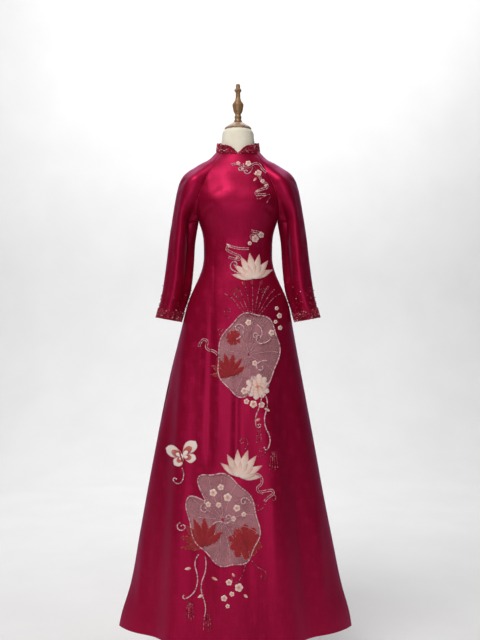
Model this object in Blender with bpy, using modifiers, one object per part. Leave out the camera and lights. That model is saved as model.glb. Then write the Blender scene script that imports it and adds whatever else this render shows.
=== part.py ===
"""An ao dai, a long fitted Vietnamese tunic with raglan sleeves and a stand collar, on a limbless dress form.

Metres, +Z up. The origin is on the floor under the middle of the hem. The front faces -Y, and the left
sleeve is the one at -X. Every cloth surface here is the garment's outer face; its wall grows inwards.
"""

import math

import bmesh
import bpy
import numpy as np

# Driving dimensions
CLOTH = 0.0015
COLLAR_CLOTH = 0.002
SEAM_EASE = 0.0003  # each piece stops this short of its seam line
HEM = 0.158
SLIT_TOP = 1.245
SLIT_HALF_GAP = 0.020  # at the hem, from the side line to each panel's edge
ARMPIT = 1.385
CHEST = 1.530  # above this the rows of a panel bend to the neckline
NECK_HALF_WIDTH = 0.065
NECK_FRONT = 0.0555
NECK_BACK = 0.060
NECK_SIDE_HEIGHT = 1.600
NECK_FRONT_DROP = 0.0174
NECK_BACK_RISE = 0.012
NECK_SEAM_ANGLE = 50.0  # degrees from centre front or centre back to the raglan seam
COLLAR_LEAN = 0.0028
COLLAR_NOTCH_HALF_ANGLE = 0.5
FORM_DROP = 0.006  # the form's shoulders lie this far under the cloth's
FORM_NECK_TOP = 1.6655
FORM_BOTTOM = 0.93
FLOOR_GAP = 0.0003  # between two pieces that stand on each other
POLE_RADIUS = 0.016
BASE_TOP = 0.052

# Grids: how finely each piece is divided
FRONT_COLUMNS = 44
BACK_COLUMNS = 28
SLEEVE_COLUMNS = 22
COLLAR_COLUMNS = 44
FORM_COLUMNS = 28
TURNED_STEPS = 24
PANEL_ROWS = (  # from, to, spaces between; above the armpit the rows end where the sleeve's sections do
    (HEM, 1.10, 8),
    (1.10, SLIT_TOP, 3),
    (SLIT_TOP, ARMPIT, 3),
)

# The body of the tunic in level sections, where the wearer's middle is at centre_x
BODY = (  # height, half_width, front_depth, back_depth, squareness, centre_x
    (0.158, 0.3596, 0.197, 0.193, 1.55, 0.001),
    (0.200, 0.3511, 0.195, 0.190, 1.57, 0.002),
    (0.255, 0.3338, 0.192, 0.186, 1.60, 0.003),
    (0.400, 0.3004, 0.181, 0.176, 1.74, 0.002),
    (0.550, 0.2716, 0.169, 0.166, 1.82, 0.000),
    (0.700, 0.2437, 0.156, 0.156, 1.88, 0.000),
    (0.841, 0.2163, 0.143, 0.147, 1.92, 0.001),
    (0.987, 0.1858, 0.130, 0.138, 2.00, 0.004),
    (1.082, 0.1650, 0.121, 0.131, 2.06, 0.008),
    (1.135, 0.1530, 0.115, 0.124, 2.10, 0.009),
    (1.182, 0.1340, 0.107, 0.113, 2.14, 0.009),
    (1.225, 0.1150, 0.098, 0.100, 2.18, 0.009),
    (1.262, 0.1055, 0.091, 0.087, 2.20, 0.009),
    (1.300, 0.1045, 0.089, 0.080, 2.22, 0.009),
    (1.340, 0.1070, 0.096, 0.083, 2.24, 0.009),
    (1.385, 0.1200, 0.112, 0.093, 2.24, 0.009),
    (1.430, 0.1375, 0.120, 0.102, 2.20, 0.009),
    (1.470, 0.1535, 0.110, 0.105, 2.12, 0.009),
    (1.500, 0.1635, 0.095, 0.103, 2.06, 0.009),
    (1.522, 0.1610, 0.083, 0.098, 2.02, 0.009),
    (1.545, 0.1340, 0.073, 0.091, 2.00, 0.009),
    (1.565, 0.1020, 0.064, 0.081, 2.00, 0.009),
    (1.585, 0.0750, 0.054, 0.070, 2.00, 0.009),
    (1.600, 0.0655, 0.046, 0.063, 2.00, 0.009),
    (1.615, 0.0640, 0.040, 0.058, 2.00, 0.009),
)

# Sections of a sleeve from the neck to the cuff, as distances from the middle. The opening is the angle from
# the top line to each raglan seam, and 180 degrees is a closed tube. Down to the armpit, the under points
# are the raglan seam.
SLEEVE = (  # top_x, top_z, under_x, under_z, opening, front_depth, back_depth, centre_y
    (0.0650, 1.6000, 0.0498, 1.5890, 40, 0.0555, 0.0600, 0.000),
    (0.0890, 1.5740, 0.0625, 1.5750, 60, 0.0480, 0.0605, 0.000),
    (0.1130, 1.5610, 0.0745, 1.5520, 75, 0.0575, 0.0720, 0.000),
    (0.1350, 1.5475, 0.0875, 1.5250, 84, 0.0675, 0.0805, 0.000),
    (0.1545, 1.5350, 0.1000, 1.5000, 92, 0.0750, 0.0820, 0.000),
    (0.1705, 1.5180, 0.1115, 1.4750, 102, 0.0760, 0.0775, 0.000),
    (0.1810, 1.4950, 0.1205, 1.4500, 114, 0.0730, 0.0710, 0.000),
    (0.1890, 1.4620, 0.1245, 1.4250, 130, 0.0670, 0.0635, 0.000),
    (0.1970, 1.4160, 0.1240, 1.4030, 150, 0.0600, 0.0570, 0.000),
    (0.2045, 1.3700, 0.1204, 1.3850, 180, 0.0540, 0.0540, -0.001),
    (0.2105, 1.3270, 0.1300, 1.3290, 180, 0.0500, 0.0515, -0.003),
    (0.2155, 1.2800, 0.1340, 1.2740, 180, 0.0475, 0.0490, -0.006),
    (0.2215, 1.2310, 0.1380, 1.2200, 180, 0.0455, 0.0465, -0.010),
    (0.2280, 1.1820, 0.1450, 1.1680, 180, 0.0440, 0.0450, -0.015),
    (0.2365, 1.1370, 0.1590, 1.1220, 180, 0.0430, 0.0435, -0.019),
    (0.2480, 1.0930, 0.1720, 1.0790, 180, 0.0425, 0.0425, -0.022),
)
ARMPIT_STATION = 9

# Soft folds of the skirt: a trough has a negative depth. x is a distance from the origin.
FOLDS = (  # panel, high_x, high_z, low_x, low_z, high_width, low_width, high_depth, low_depth
    ("front", -0.068, 1.220, -0.076, 0.640, 0.009, 0.014, -0.0035, -0.0065),
    ("front", -0.182, 1.060, -0.262, 0.000, 0.022, 0.042, -0.006, -0.009),
    ("front", 0.006, 1.000, 0.002, 0.600, 0.009, 0.012, -0.0035, -0.0060),
    ("front", -0.080, 0.600, -0.092, 0.000, 0.014, 0.022, -0.005, -0.008),
    ("front", 0.130, 1.000, 0.252, 0.000, 0.026, 0.052, -0.005, -0.011),
    ("front", -0.134, 1.160, -0.188, 0.000, 0.020, 0.036, 0.010, 0.015),
    ("front", 0.068, 1.020, 0.178, 0.000, 0.026, 0.048, 0.008, 0.015),
    ("back", -0.128, 1.100, -0.196, 0.000, 0.020, 0.038, -0.009, -0.020),
    ("back", 0.000, 1.160, 0.004, 0.000, 0.022, 0.044, -0.008, -0.020),
    ("back", 0.120, 1.080, 0.188, 0.000, 0.020, 0.038, -0.010, -0.019),
    ("back", -0.062, 1.120, -0.098, 0.000, 0.024, 0.046, 0.007, 0.014),
    ("back", 0.064, 1.120, 0.102, 0.000, 0.024, 0.046, 0.007, 0.015),
)

# The bust, as two soft mounds either side of the middle
BUST_X = 0.072
BUST_Z = 1.432
BUST_WIDTH = 0.040
BUST_RISE = 0.006

# Folds along a sleeve. The turn is 0 at the outer line, -1 and 1 at the underarm by the front and the back.
SLEEVE_FOLDS = (  # side, turn, high_z, low_z, width, depth
    (-1, -0.44, 1.500, 1.060, 0.10, 0.0055),
    (-1, -0.74, 1.475, 1.060, 0.15, -0.0085),
    (-1, -0.72, 1.490, 1.310, 0.11, -0.0050),
    (-1, 0.50, 1.480, 1.100, 0.13, -0.0055),
    (1, -0.42, 1.500, 1.060, 0.10, 0.0050),
    (1, -0.72, 1.470, 1.060, 0.15, -0.0080),
    (1, -0.70, 1.485, 1.320, 0.11, -0.0050),
    (1, 0.54, 1.480, 1.100, 0.13, -0.0060),
)

# How far the collar's top edge stands over its seam, by the angle from centre front
COLLAR_HEIGHT = (  # degrees, height
    (0.0, 0.0040),
    (5.5, 0.0095),
    (15.0, 0.0190),
    (26.0, 0.0245),
    (40.0, 0.0258),
    (90.0, 0.0250),
    (180.0, 0.0250),
)

# The dress form: its clearance under the cloth, then its own hips and neck
FORM_CLEARANCE = (  # height, clearance
    (1.140, 0.0140),
    (1.200, 0.0095),
    (1.262, 0.0070),
    (1.385, 0.0060),
    (1.560, 0.0060),
)
FORM_ROWS = (1.14, 1.20, 1.262, 1.32, 1.385, 1.43, 1.47, 1.495, 1.515, 1.535, 1.555)
FORM_HIPS = (  # height, half_width, front_depth, back_depth
    (FORM_BOTTOM, 0.1180, 0.080, 0.088),
    (0.945, 0.1290, 0.090, 0.099),
    (1.000, 0.1370, 0.097, 0.106),
    (1.070, 0.1405, 0.101, 0.109),
)
FORM_NECK = (
    (1.575, 0.0690, 0.051, 0.060),
    (1.592, 0.0565, 0.046, 0.053),
    (1.622, 0.0510, 0.045, 0.050),
    (1.648, 0.0480, 0.044, 0.047),
    (1.661, 0.0445, 0.042, 0.044),
    (FORM_NECK_TOP, 0.0405, 0.039, 0.040),
)

# Turned pieces, from the top down the outside
FINIAL = (  # radius, height
    (0.0000, 1.8070),
    (0.0050, 1.8060),
    (0.0070, 1.8010),
    (0.0068, 1.7925),
    (0.0108, 1.7890),
    (0.0108, 1.7840),
    (0.0070, 1.7805),
    (0.0074, 1.7640),
    (0.0105, 1.7540),
    (0.0172, 1.7440),
    (0.0172, 1.7400),
    (0.0158, 1.7330),
    (0.0140, 1.7230),
    (0.0080, 1.7120),
    (0.0106, 1.7070),
    (0.0106, 1.7020),
    (0.0092, 1.6990),
    (0.0125, 1.6925),
    (0.0125, 1.6892),
    (0.0000, 1.6892),
)
CAP = (
    (0.0000, 1.6889),
    (0.0150, 1.6885),
    (0.0280, 1.6805),
    (0.0400, 1.6720),
    (0.0412, 1.6695),
    (0.0400, 1.6665),
    (0.0370, 1.6658),
    (0.0000, 1.6658),
)
BASE = (
    (0.0000, BASE_TOP),
    (0.0260, BASE_TOP),
    (0.0300, 0.0490),
    (0.0320, 0.0380),
    (0.0480, 0.0330),
    (0.1400, 0.0270),
    (0.1560, 0.0240),
    (0.1600, 0.0180),
    (0.1600, 0.0060),
    (0.1560, 0.0000),
    (0.0000, 0.0000),
)

AXIS_X = 0.009  # the neck, the pole and the base stand here

# Finishes: colour, roughness, metallic
SATIN = ((0.26, 0.006, 0.035), 0.38, 0.0)
LINEN = ((0.72, 0.66, 0.52), 0.85, 0.0)
WOOD = ((0.30, 0.17, 0.08), 0.45, 0.0)
STEEL = ((0.55, 0.55, 0.57), 0.32, 1.0)


def column(table, index):
    return np.array([row[index] for row in table], float)


def spline(xs, ys, at):
    """Values on the natural cubic spline through the points (xs, ys)."""
    gaps = np.diff(xs)
    slopes = np.diff(ys) / gaps
    count = len(xs)
    system = np.eye(count)
    bends = np.zeros(count)
    for i in range(1, count - 1):
        system[i, i - 1 : i + 2] = gaps[i - 1], 2 * (gaps[i - 1] + gaps[i]), gaps[i]
        bends[i] = 6 * (slopes[i] - slopes[i - 1])
    second = np.linalg.solve(system, bends)
    at = np.clip(np.asarray(at, float), xs[0], xs[-1])
    k = np.clip(np.searchsorted(xs, at) - 1, 0, count - 2)
    left = (xs[k + 1] - at) / gaps[k]
    right = 1 - left
    curve = (left**3 - left) * second[k] + (right**3 - right) * second[k + 1]
    return left * ys[k] + right * ys[k + 1] + curve * gaps[k] ** 2 / 6


def smoothstep(t):
    t = np.clip(t, 0, 1)
    return t * t * (3 - 2 * t)


def body(index, height):
    return spline(column(BODY, 0), column(BODY, index), height)


def bust(x, z):
    """The rise of the two bust mounds at a distance x from the middle."""
    near = np.exp(-(((np.abs(x) - BUST_X) / BUST_WIDTH) ** 2))
    return BUST_RISE * near * np.exp(-(((z - BUST_Z) / BUST_WIDTH) ** 2))


def fold_rise(panel, x, z):
    """How far the folds of a panel push its surface out at (x, z)."""
    rise = 0.0
    for name, high_x, high_z, low_x, low_z, high_width, low_width, high_depth, low_depth in FOLDS:
        if name != panel:
            continue
        down = (high_z - z) / (high_z - low_z)
        inside = np.clip(down, 0, 1)
        middle = high_x + (low_x - high_x) * inside
        width = high_width + (low_width - high_width) * inside
        depth = high_depth + (low_depth - high_depth) * inside
        fade = smoothstep(down / 0.25) * smoothstep((1 - down) / 0.15)
        rise = rise + depth * fade * np.exp(-(((x - middle) / width) ** 2))
    return rise


def body_point(panel, x, z):
    """The outer face of a panel at a distance x from the body's middle and a height z."""
    facing = -1 if panel == "front" else 1
    half_width = body(1, z)
    depth = body(2 if panel == "front" else 3, z)
    power = body(4, z)
    across = np.clip(np.abs(x) / half_width, 0, 1)
    y = depth * (1 - across**power) ** (1 / power)
    lean = np.hypot(x / half_width**2, y / depth**2)
    rise = fold_rise(panel, x + body(5, z), z)
    if panel == "front":
        rise = rise + bust(x, z)
    out_x = x + rise * x / half_width**2 / lean
    out_y = y + rise * y / depth**2 / lean
    return np.array([out_x + body(5, z), facing * out_y, z])


def neckline(angle):
    """A point of the neck seam, at an angle in radians from centre front."""
    front = math.cos(angle)
    depth = NECK_FRONT if front > 0 else NECK_BACK
    height = NECK_SIDE_HEIGHT - (NECK_FRONT_DROP if front > 0 else NECK_BACK_RISE) * front
    return np.array([AXIS_X + NECK_HALF_WIDTH * math.sin(angle), -depth * front, height])


def raglan(z):
    """The raglan seam's distance from the middle at a height."""
    seam = SLEEVE[ARMPIT_STATION::-1]
    return np.interp(z, column(seam, 3), column(seam, 2))


def panel_edge(panel, z):
    """Half of a panel's width at a height: to the slit, the side seam or the raglan seam."""
    half_width = body(1, z)
    if z > ARMPIT:
        return min(raglan(z), half_width) - SEAM_EASE
    open_share = smoothstep((SLIT_TOP - z) / (SLIT_TOP - HEM))
    gap = SEAM_EASE + (SLIT_HALF_GAP - SEAM_EASE) * open_share
    depth = body(2 if panel == "front" else 3, z)
    power = body(4, z)
    return half_width * (1 - (gap / depth) ** power) ** (1 / power)


def seam_top(panel):
    """The point of the neck seam where a panel, a sleeve and the collar meet."""
    seam_angle = math.radians(NECK_SEAM_ANGLE)
    return neckline(seam_angle if panel == "front" else math.pi - seam_angle)


def neck_share(panel, z):
    """How far a panel's surface has bent from the body's sections to the neck seam, 0 to 1."""
    return np.clip((z - CHEST) / (seam_top(panel)[2] - CHEST), 0, 1) ** 2


def seam_point(panel, x, z):
    """A point of the raglan seam."""
    top = seam_top(panel)
    miss = top - body_point(panel, raglan(top[2]), top[2])
    return body_point(panel, x, z) + miss * neck_share(panel, z)


def panel_points(panel, columns):
    """The grid of a panel, hem to neck, each row from -X to +X."""
    toward_front = panel == "front"
    seam_angle = math.radians(NECK_SEAM_ANGLE)
    top = seam_top(panel)[2]
    heights = [HEM]
    for low, high, spaces in PANEL_ROWS:
        heights += [low + (high - low) * (i + 1) / spaces for i in range(spaces)]
    heights += [row[3] for row in SLEEVE[ARMPIT_STATION - 1 : 0 : -1]] + [top]
    dip = NECK_FRONT_DROP if toward_front else -NECK_BACK_RISE
    rows = []
    for height in heights:
        climb = smoothstep((height - CHEST) / (top - CHEST))
        edge = panel_edge(panel, height)
        widest = math.asin(min(edge / body(1, height), 1))
        row = []
        for j in range(columns + 1):
            share = 2 * j / columns - 1
            drop = dip * (math.cos(share * seam_angle) - math.cos(seam_angle)) * climb
            x = edge * math.sin(widest * share) / math.sin(widest)
            row.append(body_point(panel, x, height - drop))
        rows.append(row)
    points = np.array(rows)
    seam_share = 1 - SEAM_EASE / (NECK_HALF_WIDTH * seam_angle)
    for j in range(columns + 1):
        angle = (2 * j / columns - 1) * seam_angle * seam_share
        target = neckline(angle if toward_front else math.pi - angle)
        target[2] -= SEAM_EASE
        miss = target - points[-1, j]
        for i, height in enumerate(heights[:-1]):
            points[i, j] += miss * neck_share(panel, height)
        points[-1, j] = target
    return points if toward_front else points[:, ::-1]


def sleeve_points(side, columns):
    """The grid of a sleeve, neck to cuff, each row from the front raglan seam over the top to the back one."""
    rows = [sleeve_neck(columns)]
    for station, section in list(enumerate(SLEEVE))[1:]:
        top_x, top_z, under_x, under_z, opening, front, back, centre_y = section
        ends = [np.array([under_x, centre_y, under_z])] * 2
        if station < ARMPIT_STATION:
            ends = [seam_point(panel, under_x, under_z) - (AXIS_X, 0, 0) for panel in ("front", "back")]
        if station == ARMPIT_STATION:
            ends = [np.array([under_x + SEAM_EASE, 0.0, under_z])] * 2
        turn = math.radians(opening)
        middle = (ends[0] + ends[1]) / 2
        top = np.array([top_x, centre_y, top_z])
        reach = (top - middle) / (1 - math.cos(turn))
        reach[1] = 0
        centre = top - reach
        row = []
        for j in range(columns + 1):
            share = 2 * j / columns - 1
            depth = front if share < 0 else back
            across = depth * math.sin(turn * share)
            row.append(centre + reach * math.cos(turn * share) + np.array([0, across, 0]))
        row = np.array(row)
        lift = sleeve_fold_rise(side, np.linspace(-1, 1, columns + 1) * opening / 180, row[:, 2])
        away = row - centre
        row += away / np.linalg.norm(away, axis=1)[:, None] * lift[:, None]
        for end, start in ((ends[0], 0), (ends[1], columns)):
            miss = end - row[start]
            if station < ARMPIT_STATION:
                miss = miss + seam_step(row, start)
            near = np.clip(1 - np.abs(np.arange(columns + 1) - start) / (0.35 * columns), 0, 1) ** 2
            row += near[:, None] * miss
        rows.append(row)
    points = np.array(rows)
    points[:, :, 0] = AXIS_X + side * points[:, :, 0]
    return points


def sleeve_neck(columns):
    """A sleeve's top edge, along the neck seam from the front panel to the back one."""
    row = []
    for j in range(columns + 1):
        seam_angle = NECK_SEAM_ANGLE + math.degrees(SEAM_EASE / NECK_HALF_WIDTH)
        angle = seam_angle + (180 - 2 * seam_angle) * j / columns
        row.append(neckline(math.radians(angle)) - (AXIS_X, 0, SEAM_EASE))
    return np.array(row)


def seam_step(row, start):
    """The short step from a raglan seam into the sleeve, which leaves the seam's gap."""
    inward = row[1] - row[0] if start == 0 else row[-2] - row[-1]
    return inward / np.linalg.norm(inward) * SEAM_EASE


def sleeve_fold_rise(side, turns, z):
    rise = np.zeros(len(turns))
    for fold_side, turn, high_z, low_z, width, depth in SLEEVE_FOLDS:
        if fold_side != side:
            continue
        down = (high_z - z) / (high_z - low_z)
        fade = smoothstep(down / 0.25) * smoothstep((1 - down) / 0.1)
        rise += depth * fade * np.exp(-(((turns - turn) / width) ** 2))
    return rise


def collar_points(columns):
    """The grid of the collar, seam to top edge, each row from one side of the notch round to the other."""
    rows = []
    for level in (0.0, 0.5, 1.0):
        row = []
        for j in range(columns + 1):
            share = j / columns
            spread = share - 0.07 * math.sin(2 * math.pi * share)
            degrees = COLLAR_NOTCH_HALF_ANGLE + (360 - 2 * COLLAR_NOTCH_HALF_ANGLE) * spread
            point = neckline(math.radians(degrees))
            from_front = min(degrees, 360 - degrees)
            height = spline(column(COLLAR_HEIGHT, 0), column(COLLAR_HEIGHT, 1), from_front)
            out = np.array([point[0] - AXIS_X, point[1], 0])
            point = point - out / np.linalg.norm(out) * COLLAR_LEAN * level
            point[2] += SEAM_EASE + (height - SEAM_EASE) * level
            row.append(point)
        rows.append(row)
    return np.array(rows)


def form_sections():
    """The dress form's level sections: height, half width, front depth and back depth."""
    heights, gaps = column(FORM_CLEARANCE, 0), column(FORM_CLEARANCE, 1)
    torso = []
    for height in FORM_ROWS:
        inset = spline(heights, gaps, height)
        lifted = height + FORM_DROP * smoothstep((height - 1.45) / 0.05)
        torso.append((height, body(1, lifted) - inset, body(2, lifted) - inset, body(3, lifted) - inset))
    return list(FORM_HIPS) + torso + list(FORM_NECK)


def finish_material(name, finish):
    colour, roughness, metallic = finish
    made = bpy.data.materials.new(name + "_finish")
    made.use_nodes = True
    shader = made.node_tree.nodes["Principled BSDF"]
    shader.inputs["Base Color"].default_value = (*colour, 1)
    shader.inputs["Roughness"].default_value = roughness
    shader.inputs["Metallic"].default_value = metallic
    return made


def new_object(name, mesh, finish, collection):
    made = bpy.data.objects.new(name, mesh)
    made.data.materials.append(finish_material(name, finish))
    collection.objects.link(made)
    return made


def shade(mesh):
    mesh.shade_smooth()
    mesh.set_sharp_from_angle(angle=math.radians(40))


def cloth_piece(name, points, wall, collection, flip=False):
    """A sheet through a grid of points, with a wall that grows inwards."""
    rows, columns = points.shape[:2]
    build = bmesh.new()
    verts = [[build.verts.new(point) for point in row] for row in points]
    for i in range(rows - 1):
        for j in range(columns - 1):
            corners = [verts[i][j], verts[i][j + 1], verts[i + 1][j + 1], verts[i + 1][j]]
            build.faces.new(corners[::-1] if flip else corners)
    bmesh.ops.remove_doubles(build, verts=build.verts, dist=0.00002)
    mesh = bpy.data.meshes.new(name)
    build.to_mesh(mesh)
    build.free()
    shade(mesh)
    made = new_object(name, mesh, SATIN, collection)
    solidify = made.modifiers.new("cloth wall", "SOLIDIFY")
    solidify.thickness = wall
    solidify.offset = -1
    return made


def form_torso(collection):
    """The padded torso and neck, one smooth closed form."""
    build = bmesh.new()
    rings = []
    for height, half_width, front, back in form_sections():
        ring = []
        for j in range(FORM_COLUMNS):
            angle = 2 * math.pi * j / FORM_COLUMNS
            depth = front if math.sin(angle) < 0 else back
            place = (AXIS_X + half_width * math.cos(angle), depth * math.sin(angle), height)
            ring.append(build.verts.new(place))
        rings.append(ring)
    for lower, upper in zip(rings, rings[1:]):
        for j in range(FORM_COLUMNS):
            after = (j + 1) % FORM_COLUMNS
            build.faces.new([lower[j], lower[after], upper[after], upper[j]])
    build.faces.new(rings[0][::-1])
    build.faces.new(rings[-1])
    mesh = bpy.data.meshes.new("form_torso")
    build.to_mesh(mesh)
    build.free()
    shade(mesh)
    return new_object("form_torso", mesh, LINEN, collection)


def turned(name, profile, finish, collection):
    """A turned piece, from its profile of radii and heights."""
    mesh = bpy.data.meshes.new(name)
    edges = [(i, i + 1) for i in range(len(profile) - 1)]
    mesh.from_pydata([(radius, 0, height) for radius, height in profile], edges, [])
    made = new_object(name, mesh, finish, collection)
    made.location.x = AXIS_X
    screw = made.modifiers.new("turned", "SCREW")
    screw.steps = TURNED_STEPS
    screw.render_steps = TURNED_STEPS
    screw.use_merge_vertices = True
    screw.merge_threshold = 0.00005
    screw.use_smooth_shade = True
    return made


def pole(collection):
    length = FORM_BOTTOM - BASE_TOP - 2 * FLOOR_GAP
    middle = (AXIS_X, 0, BASE_TOP + FLOOR_GAP + length / 2)
    bpy.ops.mesh.primitive_cylinder_add(vertices=20, radius=POLE_RADIUS, depth=length, location=middle)
    made = bpy.context.object
    made.name = "stand_pole"
    made.data.materials.append(finish_material("stand_pole", STEEL))
    shade(made.data)
    for holder in made.users_collection:
        holder.objects.unlink(made)
    collection.objects.link(made)
    return made


def main():
    for old in list(bpy.data.objects):
        bpy.data.objects.remove(old)
    collection = bpy.data.collections.new("ao_dai_on_form")
    bpy.context.scene.collection.children.link(collection)
    cloth_piece("front_panel", panel_points("front", FRONT_COLUMNS), CLOTH, collection)
    cloth_piece("back_panel", panel_points("back", BACK_COLUMNS), CLOTH, collection)
    cloth_piece("sleeve_right", sleeve_points(1, SLEEVE_COLUMNS), CLOTH, collection, flip=True)
    cloth_piece("sleeve_left", sleeve_points(-1, SLEEVE_COLUMNS), CLOTH, collection)
    cloth_piece("collar", collar_points(COLLAR_COLUMNS), COLLAR_CLOTH, collection)
    form_torso(collection)
    turned("form_cap", CAP, WOOD, collection)
    turned("form_finial", FINIAL, WOOD, collection)
    turned("stand_base", BASE, WOOD, collection)
    pole(collection)


main()
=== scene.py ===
"""An ao dai on a dress form: the satin, its beads and needlework, the turned wood and the studio.

Metres, +Z up, the front faces -Y. The left sleeve is the one at -X. The sections and folds below are those
of the rigid pieces. Each cloth shell is laid through them on a finer grid, with its smaller creases.
"""

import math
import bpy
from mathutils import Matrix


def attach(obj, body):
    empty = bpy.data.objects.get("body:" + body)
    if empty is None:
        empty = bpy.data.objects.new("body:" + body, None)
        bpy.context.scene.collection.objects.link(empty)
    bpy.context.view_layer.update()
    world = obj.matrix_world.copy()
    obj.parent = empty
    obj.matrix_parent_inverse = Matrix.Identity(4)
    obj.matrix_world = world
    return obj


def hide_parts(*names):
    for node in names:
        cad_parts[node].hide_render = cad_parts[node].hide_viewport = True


bl_info = {
    "name": "Ao dai on a dress form",
    "version": (1, 0, 0),
    "blender": (4, 5, 0),
    "location": "View3D > Sidebar > Ao dai",
    "description": "Makes a beaded satin ao dai tunic on a limbless dress form",
    "category": "Object",
}

import bmesh
import bpy
import numpy as np
from mathutils import Matrix, Vector
from mathutils.bvhtree import BVHTree

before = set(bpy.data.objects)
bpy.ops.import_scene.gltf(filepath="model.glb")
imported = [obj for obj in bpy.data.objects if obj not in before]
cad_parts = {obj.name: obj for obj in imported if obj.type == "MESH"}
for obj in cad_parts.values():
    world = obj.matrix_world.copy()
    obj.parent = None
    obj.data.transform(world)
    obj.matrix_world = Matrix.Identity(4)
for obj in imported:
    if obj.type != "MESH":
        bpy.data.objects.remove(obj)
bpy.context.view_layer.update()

# ---------------------------------------------------------------- sizes of the tunic
HEM = 0.158
SLIT_TOP = 1.245
SLIT_HALF_GAP = 0.020  # at the hem, from the side line to each panel's edge
ARMPIT = 1.385
CHEST = 1.530  # above this the rows of a panel bend to the neckline
NECK_HALF_WIDTH = 0.065
NECK_FRONT = 0.0555
NECK_BACK = 0.060
NECK_SIDE_HEIGHT = 1.600
NECK_FRONT_DROP = 0.0174
NECK_BACK_RISE = 0.012
NECK_SEAM_ANGLE = 50.0  # degrees from centre front or centre back to the raglan seam
COLLAR_LEAN = 0.0028
COLLAR_NOTCH_HALF_ANGLE = 0.5
COLLAR_CROWDING = 0.07  # how much closer the collar's columns are by the notch
AXIS_X = 0.009  # the neck, the pole and the base stand here
SEAM_EASE = 0.00012  # each piece stops this short of its seam line
SEAM_DIP = 0.0003  # how deep a sewn seam pulls the cloth in
SEAM_REACH = 0.0032
HEM_STITCH_DIP = 0.0005  # how deep the stitching of an open edge pulls the cloth in
HEM_STITCH_REACH = 0.0016
HEM_STITCH_INSET = 0.011  # how far inside an open edge it runs
FORM_DROP = 0.006  # the form's shoulders lie this far under the cloth's
FORM_DROP_START = 1.45  # and sink to that from this height, over this run
FORM_DROP_RUN = 0.05
FORM_BOTTOM = 0.93
FORM_NECK_TOP = 1.6655
BASE_TOP = 0.052

# Grids: how finely each piece of cloth is divided
FRONT_COLUMNS = 150
BACK_COLUMNS = 120
SLEEVE_COLUMNS = 84
CUFF_ROWS = 24  # the rows of a sleeve that carry the cuff's beads
COLLAR_COLUMNS = 220
COLLAR_LEVELS = 11
FORM_COLUMNS = 96
ROWS_PER_STATION = 9  # of a sleeve under the armpit
UPPER_ROWS_PER_STATION = 8  # of a sleeve or a panel above it
NEAR_ARMPIT_ROWS = 13  # in the one station above the armpit
PANEL_ROWS = (  # from, to, rows; above the armpit they follow the raglan seam
    (HEM, 1.10, 150),
    (1.10, SLIT_TOP, 37),
    (SLIT_TOP, ARMPIT, 38),
)

# The body of the tunic in level sections, where the wearer's middle is at centre_x
BODY = (  # height, half_width, front_depth, back_depth, squareness, centre_x
    (0.158, 0.3596, 0.197, 0.193, 1.55, 0.001),
    (0.200, 0.3511, 0.195, 0.190, 1.57, 0.002),
    (0.255, 0.3338, 0.192, 0.186, 1.60, 0.003),
    (0.400, 0.3004, 0.181, 0.176, 1.74, 0.002),
    (0.550, 0.2716, 0.169, 0.166, 1.82, 0.000),
    (0.700, 0.2437, 0.156, 0.156, 1.88, 0.000),
    (0.841, 0.2163, 0.143, 0.147, 1.92, 0.001),
    (0.987, 0.1858, 0.130, 0.138, 2.00, 0.004),
    (1.082, 0.1650, 0.121, 0.131, 2.06, 0.008),
    (1.135, 0.1530, 0.115, 0.124, 2.10, 0.009),
    (1.182, 0.1340, 0.107, 0.113, 2.14, 0.009),
    (1.225, 0.1150, 0.098, 0.100, 2.18, 0.009),
    (1.262, 0.1055, 0.091, 0.087, 2.20, 0.009),
    (1.300, 0.1045, 0.089, 0.080, 2.22, 0.009),
    (1.340, 0.1070, 0.096, 0.083, 2.24, 0.009),
    (1.385, 0.1200, 0.112, 0.093, 2.24, 0.009),
    (1.430, 0.1375, 0.120, 0.102, 2.20, 0.009),
    (1.470, 0.1535, 0.110, 0.105, 2.12, 0.009),
    (1.500, 0.1635, 0.095, 0.103, 2.06, 0.009),
    (1.522, 0.1610, 0.083, 0.098, 2.02, 0.009),
    (1.545, 0.1340, 0.073, 0.091, 2.00, 0.009),
    (1.565, 0.1020, 0.064, 0.081, 2.00, 0.009),
    (1.585, 0.0750, 0.054, 0.070, 2.00, 0.009),
    (1.600, 0.0655, 0.046, 0.063, 2.00, 0.009),
    (1.615, 0.0640, 0.040, 0.058, 2.00, 0.009),
)

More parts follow.
